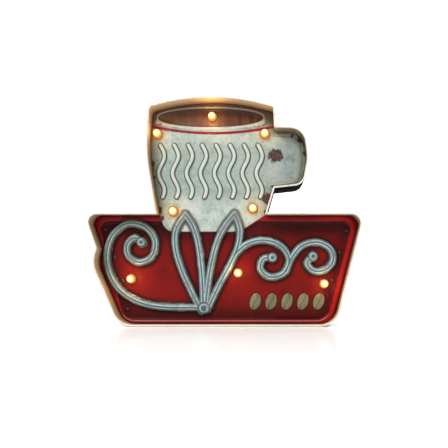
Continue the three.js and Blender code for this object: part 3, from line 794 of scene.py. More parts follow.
def plateMesh():
    edge, loops = plateContours()
    holes = [circle(x, z, plate["capHole"], 24) for x, z in lampPlaces]
    holes += [circle(x, z, plate["rivetHole"], 12) for x, z in rivetPlaces]
    rings = [circle(x, z, plate["capRing"], 28) for x, z in lampPlaces]
    points, edges = [], []
    for line, closed in [(l, True) for l in loops + holes + rings] + [(l, False) for l in plateLines()]:
        first = len(points)
        points += [Vector(p) for p in line]
        count = len(line)
        edges += [(first + i, first + (i + 1) % count) for i in range(count if closed else count - 1)]
    taken = np.array(points)
    step = plate["grid"]
    gridX, gridZ = np.meshgrid(np.arange(-200, 201, step), np.arange(0, 334, step * 0.866))
    gridX = gridX + (np.arange(gridX.shape[0]) % 2)[:, None] * step / 2
    spots = np.stack((gridX.ravel(), gridZ.ravel()), 1)
    spots = spots[signedTo(spots, edge) > 1.5]
    near = np.array([((taken - spot)**2).sum(1).min() for spot in spots])
    points += [Vector(p) for p in spots[near > (step * 0.45)**2]]
    verts, _, faces, _, _, _ = delaunay_2d_cdt(points, edges, [], 0, 1e-5)
    flat = np.array([tuple(v) for v in verts])
    triangles = np.array(faces)
    centres = flat[triangles].mean(1)
    keep = inside(centres, edge)
    for hole in holes:
        keep &= ~inside(centres, hole)
    return flat, triangles[keep], edge


def addPlate(paints, back):
    flat, triangles, edge = plateMesh()
    shape = PlateShape(flat)
    front = shape.depth()
    rear = front + plate["sheet"]
    rear[distanceTo(flat, edge, True) < 0.05] = plate["flangeBack"]
    count = len(flat)
    verts = [(x * mm, y * mm, z * mm) for (x, z), y in zip(flat, front)]
    verts += [(x * mm, y * mm, z * mm) for (x, z), y in zip(flat, rear)]
    names = list(paints)
    kinds = PlateShape(flat[triangles].mean(1)).kinds()
    faces = [tuple(t) for t in triangles] + [tuple(t[::-1] + count) for t in triangles]
    indices = [names.index(kind) for kind in kinds] + [len(names)] * len(triangles)
    pairs = {}
    for a, b, c in triangles:
        for pair in ((a, b), (b, c), (c, a)):
            pairs[pair] = pairs.get(pair, 0) + 1
    for a, b in pairs:
        if (b, a) not in pairs:
            faces.append((b, a, a + count, b + count))
            indices.append(len(names))
    piece = addPiece("face_plate_sheet", verts, faces, [*paints.values(), back], indices=indices)
    edges = ("rim", "field", "foot", "coffee", "pad")
    for name in edges + ("line", "rib", "bean", "crease", "boss", "rivet", "lamp"):
        data = piece.data.attributes.new(name, "FLOAT", "POINT").data
        values = np.clip(getattr(shape, name), -60, 60)
        data.foreach_set("value", np.concatenate((values, values)).astype(np.float32))
    piece.data.validate()
    sharpen(piece, 55)
    finishPiece(piece, "printed_plate", "face_plate")
    print("face plate made:", len(piece.data.polygons), "faces")


def speckle(f, scale, low, high):
    return f.noise(scale, 4, 0.65).step(low, high)


wearColours = {
    "specks": (0.035, 0.035, 0.028), "scratches": (0.62, 0.64, 0.58),
}


def weathered(f, colour, amount):  # dark specks and pale scratches
    specks = f.noise(330, 3, 0.7).step(0.60, 0.70)
    scratches = f.noise(260, 3, 0.6, f.stretched(1, 1, 0.2)).step(0.64, 0.70)
    colour = f.mix(specks * amount, colour, wearColours["specks"])
    return f.mix(scratches * amount * 0.5, colour, wearColours["scratches"])


lampLightColours = {
    "amber": (0.45, 0.26, 0.11), "ring": (0.24, 0.11, 0.035),
}


def lampSoot(f, colour):  # a thin dark ring of painted shadow where each cap meets the sheet, and a painted amber glow of lamp light round it
    away = f.value("lamp")
    colour = f.mix((1 - away.step(8, 17)) * 0.45, colour, lampLightColours["amber"], "OVERLAY")
    return f.mix((1 - away.step(7.4, 9.2)) * 0.6, colour, lampLightColours["ring"])


cupColours = {
    "green": (0.33, 0.43, 0.40), "pale": (0.46, 0.51, 0.46), "cloud": (0.24, 0.32, 0.29),
    "light": (0.58, 0.61, 0.54), "dark": (0.19, 0.25, 0.22), "belly": (0.19, 0.24, 0.21),
    "edge": (0.14, 0.14, 0.095), "rim": (0.06, 0.05, 0.03), "ribEdge": (0.05, 0.075, 0.06),
    "padHighlight": (0.62, 0.66, 0.62), "padShade": (0.10, 0.11, 0.09), "padBlue": (0.30, 0.37, 0.38),
    "padGrey": (0.15, 0.18, 0.165), "brown": (0.066, 0.031, 0.016), "footEdge": (0.02, 0.018, 0.015),
    "spots": (0.05, 0.022, 0.013), "darkRust": (0.018, 0.008, 0.006), "rust": (0.10, 0.036, 0.022),
    "lineShade": (0.03, 0.035, 0.03),
}


def cupPaint():
    f = Finish("cup_paint")
    broad, cloud = f.noise(13, 5, 0.6, distortion=0.4), f.noise(42, 5, 0.68)
    colour = f.mix(broad.step(0.36, 0.64), cupColours["green"], cupColours["pale"])
    colour = f.mix(cloud.step(0.46, 0.68) * 0.7, colour, cupColours["cloud"])
    mottle = f.noise(120, 4, 0.72)
    colour = f.mix(mottle.step(0.54, 0.66) * 0.5, colour, cupColours["light"])
    colour = f.mix((1 - mottle.step(0.34, 0.46)) * 0.5, colour, cupColours["dark"])
    belly = f.axis("Z").band(0.185, 0.275, 0.02)
    colour = f.mix(belly * 0.38, colour, cupColours["belly"])
    colour = weathered(f, colour, 0.6)
    rim = f.value("rim")
    ragged = rim + (cloud - 0.5) * 12
    colour = f.mix((1 - ragged.step(0, 15)) * 0.78, colour, cupColours["edge"])
    colour = f.mix((1 - ragged.step(-1, 4)) * 0.8, colour, cupColours["rim"])
    rib = f.value("rib")
    shade = 1 - rib.step(plate["ribHalf"], plate["ribHalf"] + 1.6)
    colour = f.mix(shade * 0.9, colour, cupColours["ribEdge"])
    inHandle = f.axis("X").step(0.062, 0.084)
    pad = f.value("pad")
    # painted highlight along the rise of the handle's pad, and painted shade just outside it
    colour = f.mix(pad.band(0.6, 1.9, 0.5) * inHandle * 0.55, colour, cupColours["padHighlight"])
    colour = f.mix(pad.band(-2.4, -0.4, 0.8) * inHandle * 0.5, colour, cupColours["padShade"])
    padColour = f.mix(cloud.step(0.4, 0.62), cupColours["padBlue"], cupColours["padGrey"])
    colour = f.mix(pad.step(3, 13) * inHandle * 0.6, colour, padColour)
    high = f.axis("Z").step(0.289, 0.307)  # beside and above the coffee the cup is darker brown
    colour = f.mix(high * (0.66 + cloud * 0.34), colour, cupColours["brown"])
    foot = f.value("foot")
    colour = f.mix((1 - (foot + cloud * 2).step(1.0, 2.4)) * 0.9, colour, cupColours["footEdge"])
    spots = f.noise(26, 4, 0.7).step(0.655, 0.675)
    colour = f.mix(spots * 0.9, colour, cupColours["spots"])
    rust = f.mix(f.noise(420, 4, 0.65).step(0.42, 0.62), cupColours["darkRust"], cupColours["rust"])
    for x, height, radius in rustSpots:
        colour = f.mix(rustSpot(f, x, height, radius) * 0.95, colour, rust)
    line = f.value("line")
    colour = f.mix((1 - line.step(plate["lineRadius"], 10)) * 0.75, colour, cupColours["lineShade"])
    colour = lampSoot(f, colour)
    height = cloud * 0.5 + f.noise(300, 3, 0.6) * 0.5
    return f.done(colour=colour, roughness=0.36 + cloud * 0.3, normal=f.bump(height, 0.0003, 0.5), gloss=0.3)


rustSpots = [
    (74.5, 254.3, 11), (-111, 243, 4.5), (-102, 173, 6), (63.5, 190, 9), (113, 279, 6), (119, 258, 4),
    (-109, 222, 2.5), (100, 284, 3), (70.5, 208, 2.5), (-97, 160, 4), (60, 170, 3),
]


def rustSpot(f, x, z, radius):
    ragged = f.awayFrom(x, z) + (f.noise(190, 5, 0.75) - 0.5) * radius * mm * 2.0
    return 1 - ragged.step(radius * mm * 0.92, radius * mm)


stripeColours = {
    "red": (0.26, 0.008, 0.012), "deep": (0.12, 0.006, 0.012), "worn": (0.3, 0.3, 0.26),
}


def stripePaint():
    f = Finish("stripe_paint")
    cloud = f.noise(60, 4, 0.6)
    colour = f.mix(cloud, stripeColours["red"], stripeColours["deep"])
    colour = f.mix(speckle(f, 200, 0.62, 0.75) * 0.6, colour, stripeColours["worn"])
    return f.done(colour=colour, roughness=0.36 + cloud * 0.2, normal=f.bump(cloud, 0.0001, 0.4), gloss=0.3)


rimColours = {
    "pale": (0.56, 0.56, 0.48), "grey": (0.38, 0.39, 0.32), "brown": (0.09, 0.04, 0.02),
    "inner": (0.05, 0.025, 0.012),
}


def rimPaint():
    f = Finish("rim_paint")
    cloud = f.noise(45, 5, 0.65)
    high = f.axis("Z").step(0.299, 0.313)  # the far side of the rim is darker brown
    colour = f.mix(cloud, rimColours["pale"], rimColours["grey"])
    away = f.value("coffee")
    # painted highlight: along the bead's crest the far side stays paler
    colour = f.mix(high * (0.95 - away.band(1.6, 2.8, 0.5) * 0.5), colour, rimColours["brown"])
    colour = f.mix((1 - away.step(0.2, 1.2)) * 0.8, colour, rimColours["inner"])
    colour = weathered(f, colour, 0.45)
    return f.done(colour=colour, roughness=0.3 + cloud * 0.25, normal=f.bump(cloud, 0.0002, 0.4), gloss=0.4)


coffeeColours = {
    "left": (0.13, 0.062, 0.034), "right": (0.075, 0.020, 0.008), "streak": (0.20, 0.085, 0.045),
    "cloud": (0.025, 0.009, 0.005), "far": (0.018, 0.007, 0.004), "edge": (0.008, 0.004, 0.003),
}


def coffeePaint():
    f = Finish("coffee_paint")
    streak = f.noise(130, 4, 0.6, f.stretched(1, 1, 0.12))
    cloud = f.noise(25, 4, 0.6)
    right = f.axis("X").step(-0.06, 0.03)
    colour = f.mix(right, coffeeColours["left"], coffeeColours["right"])
    colour = f.mix(streak.step(0.45, 0.7) * 0.7, colour, coffeeColours["streak"])
    colour = f.mix(cloud.step(0.45, 0.7) * 0.6, colour, coffeeColours["cloud"])
    high = f.axis("Z").step(0.308, 0.323)
    colour = f.mix(high * 0.75, colour, coffeeColours["far"])
    colour = f.mix((1 - (-f.value("coffee")).step(0, 2.2)) * 0.8, colour, coffeeColours["edge"])
    return f.done(colour=colour, roughness=0.3 + cloud * 0.2, normal=f.bump(streak, 0.0001, 0.4), gloss=0.3)


redColours = {
    "cloud": (0.05, 0.003, 0.004), "edge": (0.028, 0.003, 0.004), "top": (0.022, 0.005, 0.006),
    "bottom": (0.045, 0.004, 0.004), "rim": (0.012, 0.002, 0.003), "crease": (0.03, 0.002, 0.002),
    "rightBorderHighlight": (0.46, 0.012, 0.012), "pinkHighlight": (0.62, 0.22, 0.20), "rubbed": (0.36, 0.06, 0.06),
    "lineShadow": (0.02, 0.002, 0.003), "contact": (0.004, 0.003, 0.003), "bean": (0.012, 0.002, 0.002),
    "rivet": (0.010, 0.002, 0.002), "paleSpecks": (0.22, 0.06, 0.045),
    "darkSpecks": (0.012, 0.003, 0.003), "border": ((0.24, 0.008, 0.008), (0.17, 0.006, 0.008)),
    "field": ((0.19, 0.008, 0.006), (0.13, 0.006, 0.006)),
}


def redPaint(part, shadowed):
    f = Finish(part + "_red")
    bright, deep = redColours[part]
    broad, cloud = f.noise(9, 4, 0.6), f.noise(38, 5, 0.65)
    colour = f.mix(broad.step(0.3, 0.7), bright, deep)
    colour = f.mix(cloud.step(0.5, 0.75) * 0.5, colour, redColours["cloud"])
    edge, line = f.value("field"), f.value("line")
    if shadowed:
        # painted shade: the recessed field is darker near its edge, towards the top at the sides and towards
        # the bottom
        colour = f.mix((1 - edge.step(1, 26)) * 0.7, colour, redColours["edge"])
        high = f.axis("Z").step(0.112, 0.158) * f.axis("X").size().step(0.0, 0.1)
        colour = f.mix(high * 0.75, colour, redColours["top"])
        low = 1 - f.axis("Z").step(0.005, 0.05)
        colour = f.mix(low * 0.5, colour, redColours["bottom"])
    else:
        colour = f.mix((1 - f.value("rim").step(0, 3)) * 0.9, colour, redColours["rim"])
        colour = f.mix((1 - edge.size().step(0.2, 1.6)) * 0.6, colour, redColours["crease"])
        out = -edge
        wide = f.axis("X").step(0.13, 0.16)  # painted highlight: the border's inner bevel is painted bright red on the right, where the border is broadest
        colour = f.mix(out.band(1.2, 6.5, 1.0) * wide * 0.8, colour, redColours["rightBorderHighlight"])
        low = 1 - f.axis("Z").step(0.010, 0.020)
        crest = out.band(0.5, 1.7, 0.4)  # painted highlight: a pink line along the crest of the lower edge
        colour = f.mix(crest * low * (0.35 + cloud * 0.6), colour, redColours["pinkHighlight"])
        # painted highlight: paler red patches along the crest above the lower edge
        colour = f.mix(crest * (1 - low) * cloud.step(0.35, 0.6) * 0.45, colour, redColours["rubbed"])
    # painted shadow round the raised lines: a dark margin, and a darker contact shadow at their foot
    near = 1 - line.step(plate["lineRadius"] + 0.6, 13)
    colour = f.mix(near * 0.6, colour, redColours["lineShadow"])
    contact = 1 - line.step(plate["lineRadius"], plate["lineRadius"] + 1.4)
    colour = f.mix(contact * 0.9, colour, redColours["contact"])
    colour = f.mix((1 - f.value("bean").step(0.2, 2.2)) * 0.7, colour, redColours["bean"])
    # painted shadow: a dark ring round each rivet head
    colour = f.mix(f.value("rivet").band(2.9, 4.0, 0.4) * 0.8, colour, redColours["rivet"])
    colour = f.mix(speckle(f, 260, 0.64, 0.72) * 0.35, colour, redColours["paleSpecks"])
    colour = f.mix(speckle(f, 520, 0.62, 0.70) * 0.4, colour, redColours["darkSpecks"])
    height = cloud * 0.6 + f.noise(420, 2, 0.5) * 0.4
    normal = f.bump(height, 0.0003, 0.4)
    return f.done(colour=colour, roughness=0.26 + cloud * 0.25, normal=normal, gloss=0.10)


tubeColours = {
    "blue": (0.15, 0.25, 0.27), "pale": (0.25, 0.33, 0.33), "green": (0.15, 0.185, 0.14),
    "line": (0.03, 0.09, 0.125), "shine": (0.62, 0.70, 0.69), "inner": (0.05, 0.095, 0.10),
    "edge": (0.032, 0.036, 0.028), "grey": (0.15, 0.17, 0.15), "rubbed": (0.03, 0.024, 0.016),
    "bare": (0.36, 0.35, 0.27), "top": (0.13, 0.13, 0.12),
}


def tubePaint():
    f = Finish("tube_paint")
    boss = 1 - f.value("boss").step(-0.6, 0)  # on a boss the bands follow its own edge
    across = f.mixed(boss, f.value("line"), f.value("boss") + plate["lineRadius"])
    cloud, fine = f.noise(40, 5, 0.65), f.noise(200, 4, 0.65)
    left = 1 - f.axis("X").step(-0.16, -0.02)  # greener towards the left, bluer towards the right
    colour = f.mix(cloud.step(0.35, 0.7), tubeColours["blue"], tubeColours["pale"])
    colour = f.mix(left * 0.65, colour, tubeColours["green"])
    colour = f.mix((1 - across.step(0.5, 1.3)) * 0.9, colour, tubeColours["line"])
    shine = across.band(1.7, 2.6, 0.35)
    colour = f.mix(shine * (0.35 + cloud * 0.6), colour, tubeColours["shine"])
    colour = f.mix(across.band(3.2, 3.9, 0.3) * 0.75, colour, tubeColours["inner"])
    colour = f.mix(across.step(4.0, 5.4) * 0.93, colour, tubeColours["edge"])
    grey = f.noise(75, 4, 0.7)
    colour = f.mix(grey.step(0.50, 0.62) * 0.7, colour, tubeColours["grey"])
    rub = fine.step(0.52, 0.66) * across.step(2.0, 5.4)
    colour = f.mix(rub * 0.8, colour, tubeColours["rubbed"])
    colour = f.mix(cloud.step(0.56, 0.66) * across.step(1.5, 5) * 0.6, colour, tubeColours["bare"])
    high = f.axis("Z").step(0.13, 0.165)  # rubbed bare grey where the lines stand over the cup
    colour = f.mix(high * 0.45, colour, tubeColours["top"])
    return f.done(colour=colour, roughness=0.3 + cloud * 0.25, normal=f.bump(fine, 0.0003, 0.5), gloss=0.4)


ribColours = {
    "pale": (0.52, 0.57, 0.50), "green": (0.42, 0.50, 0.45), "edge": (0.045, 0.07, 0.055),
    "specks": (0.14, 0.15, 0.11),
}


def ribPaint():
    f = Finish("rib_paint")
    cloud, fine = f.noise(40, 5, 0.65), f.noise(240, 4, 0.65)
    colour = f.mix(cloud.step(0.35, 0.7), ribColours["pale"], ribColours["green"])
    across = f.value("rib")
    colour = f.mix(across.step(1.9, 2.6) * 0.95, colour, ribColours["edge"])
    colour = f.mix(fine.step(0.6, 0.72) * 0.5, colour, ribColours["specks"])
    return f.done(colour=colour, roughness=0.32 + cloud * 0.25, normal=f.bump(fine, 0.0002, 0.4), gloss=0.35)


beanColours = {
    "pale": (0.21, 0.19, 0.105), "olive": (0.14, 0.14, 0.07), "edge": (0.045, 0.03, 0.015),
    "crease": (0.03, 0.018, 0.010), "specks": (0.06, 0.045, 0.025),
}


def beanPaint():
    f = Finish("bean_paint")
    cloud, fine = f.noise(70, 5, 0.65), f.noise(260, 4, 0.65)
    colour = f.mix(cloud.step(0.35, 0.7), beanColours["pale"], beanColours["olive"])
    colour = f.mix((1 - (-f.value("bean")).step(0.1, 1.6)) * 0.7, colour, beanColours["edge"])
    colour = f.mix((1 - f.value("crease").step(0.5, 1.3)) * 0.85, colour, beanColours["crease"])
    colour = f.mix(fine.step(0.6, 0.72) * 0.5, colour, beanColours["specks"])
    return f.done(colour=colour, roughness=0.3 + cloud * 0.2, normal=f.bump(fine, 0.0002, 0.4), gloss=0.4)


caps = {
    "glow": 2.9, "power": {1: 0.046, 6: 0.034, 7: 0.034, 8: 0.028}, "otherPower": 0.013, "lampSize": 0.004,
    "stand": 17, "warm": (1.0, 0.56, 0.20), "radius": 7.4,
    "glowStops": [
        (0.0, (1.0, 0.94, 0.66)), (0.30, (1.0, 0.84, 0.42)), (0.52, (0.95, 0.52, 0.12)),
        (0.72, (0.50, 0.18, 0.028)), (0.86, (0.17, 0.05, 0.008)), (1.0, (0.05, 0.015, 0.003)),
    ],
    "tintStops": [(0.0, (0.05, 0.04, 0.02)), (0.7, (0.06, 0.03, 0.01)), (0.95, (0.04, 0.018, 0.006))],
}
capProfile = [  # radius and depth from the front of the sheet
    (4.6, 4.8), (5.45, 4.8), (5.5, 4.6), (5.5, -0.25), (7.1, -0.25), (7.3, -0.45), (7.3, -1.0), (7.05, -1.3),
    (6.35, -1.35), (6.05, -1.6), (6, -3.2), (5.95, -4.6), (5.7, -6), (5.2, -7.4), (4.3, -8.7), (3.0, -9.6),
    (1.5, -10.1), (0, -10.2), (0, -9.2), (1.3, -9.1), (2.7, -8.6), (3.8, -7.8), (4.5, -6.7), (4.8, -5.4),
    (4.9, -3), (4.6, 4.8),
]
capRear = capProfile[0][1]


def lathe(name, profile, centre, materials, segments=40, along=None, pick=None):
    centre = np.array(centre, float)
    ahead = np.array((0, 1, 0) if along is None else along, float)
    sideways = np.array((1, 0, 0) if along is None else (0, 1, 0), float)
    upwards = np.array((0, 0, 1), float)
    verts, faces, rings, indices = [], [], [], []
    for radius, depth in profile[:-1] if profile[0] == profile[-1] else profile:
        if radius == 0:
            rings.append([len(verts)])
            verts.append((centre + ahead * depth) * mm)
            continue
        rings.append(list(range(len(verts), len(verts) + segments)))
        for i in range(segments):
            angle = 2 * math.pi * i / segments
            spot = centre + ahead * depth + radius * (math.cos(angle) * sideways + math.sin(angle) * upwards)
            verts.append(spot * mm)
    if profile[0] == profile[-1]:
        rings.append(rings[0])
    for number, (first, second) in enumerate(zip(rings, rings[1:])):
        for i in range(segments):
            k = (i + 1) % segments
            if len(first) == 1 and len(second) == 1:
                break
            if len(first) == 1:
                faces.append((first[0], second[i], second[k]))
            elif len(second) == 1:
                faces.append((first[i], second[0], first[k]))
            else:
                faces.append((first[i], second[i], second[k], first[k]))
            indices.append(pick(number) if pick else 0)
    piece = addPiece(name, verts, faces, materials, indices=indices)
    outward(piece)
    sharpen(piece, 50)
    return piece


def capGlow(number, x, z):
    f = Finish("bulb_cap_glow_" + str(number))
    away = f.awayFrom(x, z)
    ripple = f.noise(500, 2, 0.5)
    radius = away / (caps["radius"] * mm) + (ripple - 0.5) * 0.06
    return f.done(
        colour=f.ramp(radius, caps["tintStops"]), glow=f.ramp(radius, caps["glowStops"]),
        glowStrength=caps["glow"], roughness=0.14 + ripple * 0.1, normal=f.bump(ripple, 0.0001, 0.5),
        gloss=0.5,
    )


def addCaps():
    for i, (x, z) in enumerate(lampPlaces):
        node = "bulb_cap_" + str(i + 1)
        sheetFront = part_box(node)[1].y / mm - capRear
        piece = lathe(node + "_lens", capProfile, (x, sheetFront, z), [capGlow(i + 1, x, z)])
        finishPiece(piece, "bulb_cap", node)
        light = bpy.data.lights.new("lamp_light", "POINT")
        light.energy = caps["power"].get(i + 1, caps["otherPower"])
        light.color, light.shadow_soft_size = caps["warm"], caps["lampSize"]
        lamp = bpy.data.objects.new("lamp_light", light)
        lamp.location = (x * mm, (sheetFront - caps["stand"]) * mm, z * mm)
        scene.collection.objects.link(lamp)
    print("bulb caps made")


class NodeTree:  # makes a Geometry Nodes tree
    def __init__(self, name, inputs):
        self.tree = bpy.data.node_groups.new(name, "GeometryNodeTree")
        self.tree.interface.new_socket("Geometry", in_out="INPUT", socket_type="NodeSocketGeometry")
        self.ids = {}
        for key, (kind, value) in inputs.items():
            socket = self.tree.interface.new_socket(key, in_out="INPUT", socket_type=kind)
            if value is not None:
                socket.default_value = value
            self.ids[key] = socket.identifier
        self.tree.interface.new_socket("Geometry", in_out="OUTPUT", socket_type="NodeSocketGeometry")
        self.given = self.tree.nodes.new("NodeGroupInput")

    def node(self, kind, sockets=None, out=0, **settings):
        made = self.tree.nodes.new(kind)
        for key, value in settings.items():
            setattr(made, key, value)
        for key, value in (sockets or {}).items():
            if isinstance(value, bpy.types.NodeSocket):
                self.tree.links.new(value, made.inputs[key])
            else:
                made.inputs[key].default_value = value
        return made.outputs[out] if made.outputs else made

    def maths(self, kind, first, second):
        return self.node("ShaderNodeMath", {0: first, 1: second}, operation=kind)

    def finished(self, geometry):
        whole = self.node("GeometryNodeRealizeInstances", {0: geometry})
        material = self.given.outputs["Material"]
        painted = self.node("GeometryNodeSetMaterial", {0: whole, "Material": material})
        end = self.tree.nodes.new("NodeGroupOutput")
        self.tree.links.new(painted, end.inputs[0])


def grown(name, source, tree, values):  # runs a tree on a source object and keeps the plain mesh
    host = bpy.data.objects.new(name + "_source", source)
    scene.collection.objects.link(host)
    modifier = host.modifiers.new("make", "NODES")
    modifier.node_group = tree.tree
    for key, value in values.items():
        modifier[tree.ids[key]] = value
    bpy.context.view_layer.update()
    ready = host.evaluated_get(bpy.context.evaluated_depsgraph_get())
    mesh = bpy.data.meshes.new_from_object(ready)
    host.modifiers.remove(modifier)
    bpy.data.objects.remove(host)
    piece = bpy.data.objects.new(name, mesh)
    scene.collection.objects.link(piece)
    return piece


def wireTree():
    inputs = {
        "Radius": ("NodeSocketFloat", wiring["radius"] * mm), "Sides": ("NodeSocketInt", wiring["sides"]),
        "Material": ("NodeSocketMaterial", None),
    }
    t = NodeTree("insulated_wire", inputs)
    profile = t.node("GeometryNodeCurvePrimitiveCircle", {
        "Resolution": t.given.outputs["Sides"], "Radius": t.given.outputs["Radius"],
    })
    tube = t.node("GeometryNodeCurveToMesh", {
        "Curve": t.given.outputs["Geometry"], "Profile Curve": profile, "Fill Caps": True,
    })
    t.finished(t.node("GeometryNodeSetShadeSmooth", {0: tube}))
    return t


def wirePath(points):
    curve = bpy.data.curves.new("wire_path", "CURVE")
    curve.dimensions = "3D"
    line = curve.splines.new("POLY")
    line.points.add(len(points) - 1)
    for spot, p in zip(line.points, points):
        spot.co = (*[c * mm for c in p], 1)
    return curve


rivet = {
    "headRadius": 0.0028, "headHeight": 0.0013, "shankRadius": 0.0014, "shankLength": 0.0052,
    "tailRadius": 0.85, "tailHeight": 0.6, "tailInset": 0.0005,
}


def rivetTree():
    inputs = {
        "Head Radius": ("NodeSocketFloat", rivet["headRadius"]),
        "Head Height": ("NodeSocketFloat", rivet["headHeight"]),
        "Shank Radius": ("NodeSocketFloat", rivet["shankRadius"]),
        "Shank Length": ("NodeSocketFloat", rivet["shankLength"]),
        "Material": ("NodeSocketMaterial", None),
    }
    t = NodeTree("plate_rivets", inputs)
    given = t.given.outputs
    head = t.node("GeometryNodeMeshUVSphere", {"Segments": 20, "Rings": 12, "Radius": 1.0})
    radius, height = given["Head Radius"], given["Head Height"]
    headSize = t.node("ShaderNodeCombineXYZ", {0: radius, 1: height, 2: radius})
    head = t.node("GeometryNodeTransform", {"Geometry": head, "Scale": headSize})
    shank = t.node("GeometryNodeMeshCylinder", {
        "Vertices": 16, "Radius": given["Shank Radius"], "Depth": given["Shank Length"],
    })
    offset = t.node("ShaderNodeCombineXYZ", {1: t.maths("MULTIPLY", given["Shank Length"], 0.5)})
    shank = t.node("GeometryNodeTransform", {
        "Geometry": shank, "Rotation": (math.pi / 2, 0, 0), "Translation": offset,
    })
    tail = t.node("GeometryNodeMeshUVSphere", {"Segments": 16, "Rings": 8, "Radius": 1.0})
    wide = t.maths("MULTIPLY", radius, rivet["tailRadius"])
    deep = t.maths("MULTIPLY", height, rivet["tailHeight"])
    tailSize = t.node("ShaderNodeCombineXYZ", {0: wide, 1: deep, 2: wide})
    end = t.maths("SUBTRACT", given["Shank Length"], rivet["tailInset"])
    tailPlace = t.node("ShaderNodeCombineXYZ", {1: end})
    tail = t.node("GeometryNodeTransform", {"Geometry": tail, "Scale": tailSize, "Translation": tailPlace})
    joined = t.tree.nodes.new("GeometryNodeJoinGeometry")
    for part in (head, shank, tail):
        t.tree.links.new(part, joined.inputs[0])
    smooth = t.node("GeometryNodeSetShadeSmooth", {0: joined.outputs[0]})
    placed = t.node("GeometryNodeInstanceOnPoints", {"Points": given["Geometry"], "Instance": smooth})
    t.finished(placed)
    return t


def addRivets(material):
    points = bpy.data.meshes.new("rivet_points")
    fronts = [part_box(node)[0].y + rivet["headHeight"] for node in named("plate_rivet_")]
    points.from_pydata([(x * mm, y, z * mm) for (x, z), y in zip(rivetPlaces, fronts)], [], [])
    piece = grown("plate_rivets", points, rivetTree(), {"Material": material})
    sharpen(piece, 45)
    finishPiece(piece, "rivet", *named("plate_rivet_"))
    print("rivets made")


rounding = {"steel": 0.15, "contact": 0.12, "tray": 0.35, "moving": 0.25}


def soften(node, material, width, slotName="plain_steel", body="sign"):  # the CAD shape, corners rounded
    mesh = frame["nodes"][node].data.copy()
    mesh.name = node + "_soft"
    mesh.materials.clear()
    mesh.materials.append(material)
    piece = bpy.data.objects.new(node + "_part", mesh)
    scene.collection.objects.link(piece)
    bm = bmesh.new()
    bm.from_mesh(mesh)
    bmesh.ops.remove_doubles(bm, verts=bm.verts, dist=1e-6)
    bmesh.ops.dissolve_limit(
        bm, angle_limit=math.radians(1), verts=bm.verts, edges=bm.edges, delimit={"MATERIAL"},
    )
    corners = [e for e in bm.edges if e.is_manifold and e.calc_face_angle(0) > math.radians(30)]
    bmesh.ops.bevel(
        bm, geom=corners, offset=width * mm, offset_type="OFFSET", segments=2, profile=0.6, affect="EDGES",
        clamp_overlap=True,
    )
    bm.to_mesh(mesh)
    bm.free()
    mesh.polygons.foreach_set("use_smooth", [True] * len(mesh.polygons))
    mesh.polygons.foreach_set("material_index", [0] * len(mesh.polygons))
    sharpen(piece, 50)
    finishPiece(piece, slotName, node, body=body)


holderProfile = [  # radius and depth from the front of the sheet, as are the lamp's
    (5.8, 1.5), (6.0, 1.3), (7.1, 1.3), (7.3, 1.5), (7.3, 2.6), (7.0, 2.9), (7.0, 3.6), (7.3, 3.9),
    (7.3, 5.0), (7.0, 5.3), (7.0, 6.0), (7.3, 6.3), (7.3, 8.6), (6.9, 9.1), (6.4, 9.3), (4.3, 9.3),
    (4.0, 9.0), (4.0, 7.5), (2.8, 7.5), (2.8, 5.5), (5.8, 5.5), (5.8, 1.5),
]
ledProfile = [
    (0, -5), (0.9, -4.85), (1.7, -4.3), (2.2, -3.5), (2.45, -2.6), (2.5, -1), (2.5, 7.8), (3.2, 7.8),
    (3.3, 7.9), (3.3, 8.7), (3.2, 8.8), (0, 8.8),
]
legs = {"start": 8.6, "plusEnd": 11.2, "minusEnd": 13.4, "half": 0.28, "side": 1.1}
turned = "led_3"  # the one lamp whose legs slant the other way
cellProfile = [  # radius, length from the flat end
    (0, 0.1), (5.4, 0.1), (5.7, 0), (6.3, 0), (6.7, 0.15), (7.0, 0.6), (7.0, 14), (7.0, 14.1), (7.0, 30),
    (7.0, 46.6), (6.7, 47), (6.2, 46.8), (3.1, 46.9), (2.75, 47.1), (2.7, 47.3), (2.7, 48.7), (2.4, 49),
    (0, 49),
]
cellLength = cellProfile[-1][1]
sleeveRings = range(4, 10)  # the stretches of the profile under the sleeve


def addHolders(material):
    for node in named("lamp_holder_"):
        x, z = middle(node)
        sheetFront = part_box(node)[0].y / mm - min(depth for _, depth in holderProfile)
        piece = lathe(node + "_cup", holderProfile, (x, sheetFront, z), [material])
        finishPiece(piece, "lamp_holder", node)


def addLeds(resin, metal):
    for node, (x, z) in zip(named("led_"), lampPlaces):
        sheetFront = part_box(node)[0].y / mm - ledProfile[0][1]
        piece = lathe(node + "_lamp", ledProfile, (x, sheetFront, z), [resin, metal], segments=24)
        bm = bmesh.new()
        bm.from_mesh(piece.data)
        slant = 1 if node == turned else -1
        for side, end in ((legs["side"], "plusEnd"), (-legs["side"], "minusEnd")):
            start = (x + side, sheetFront + legs["start"], z + side * slant)
            addRod(bm, start, legs[end] - legs["start"], legs["half"])
        bm.to_mesh(piece.data)
        bm.free()
        sharpen(piece, 50)
        finishPiece(piece, "led", node)


def addRod(bm, start, length, half):  # a leg with cut corners, material 1
    x, y, z = start
    near = half * 0.65
    section = [(-near, -half), (near, -half), (half, -near), (half, near)]
    section += [(-u, -v) for u, v in section]
    first, last = [
        [bm.verts.new(((x + u) * mm, (y + d) * mm, (z + v) * mm)) for u, v in section] for d in (0, length)
    ]
    made = []
    for i in range(len(section)):
        made.append(bm.faces.new((first[i - 1], last[i - 1], last[i], first[i])))
    made += [bm.faces.new(first), bm.faces.new(last[::-1])]
    for face in made:
        face.material_index = 1
    bmesh.ops.recalc_face_normals(bm, faces=made)


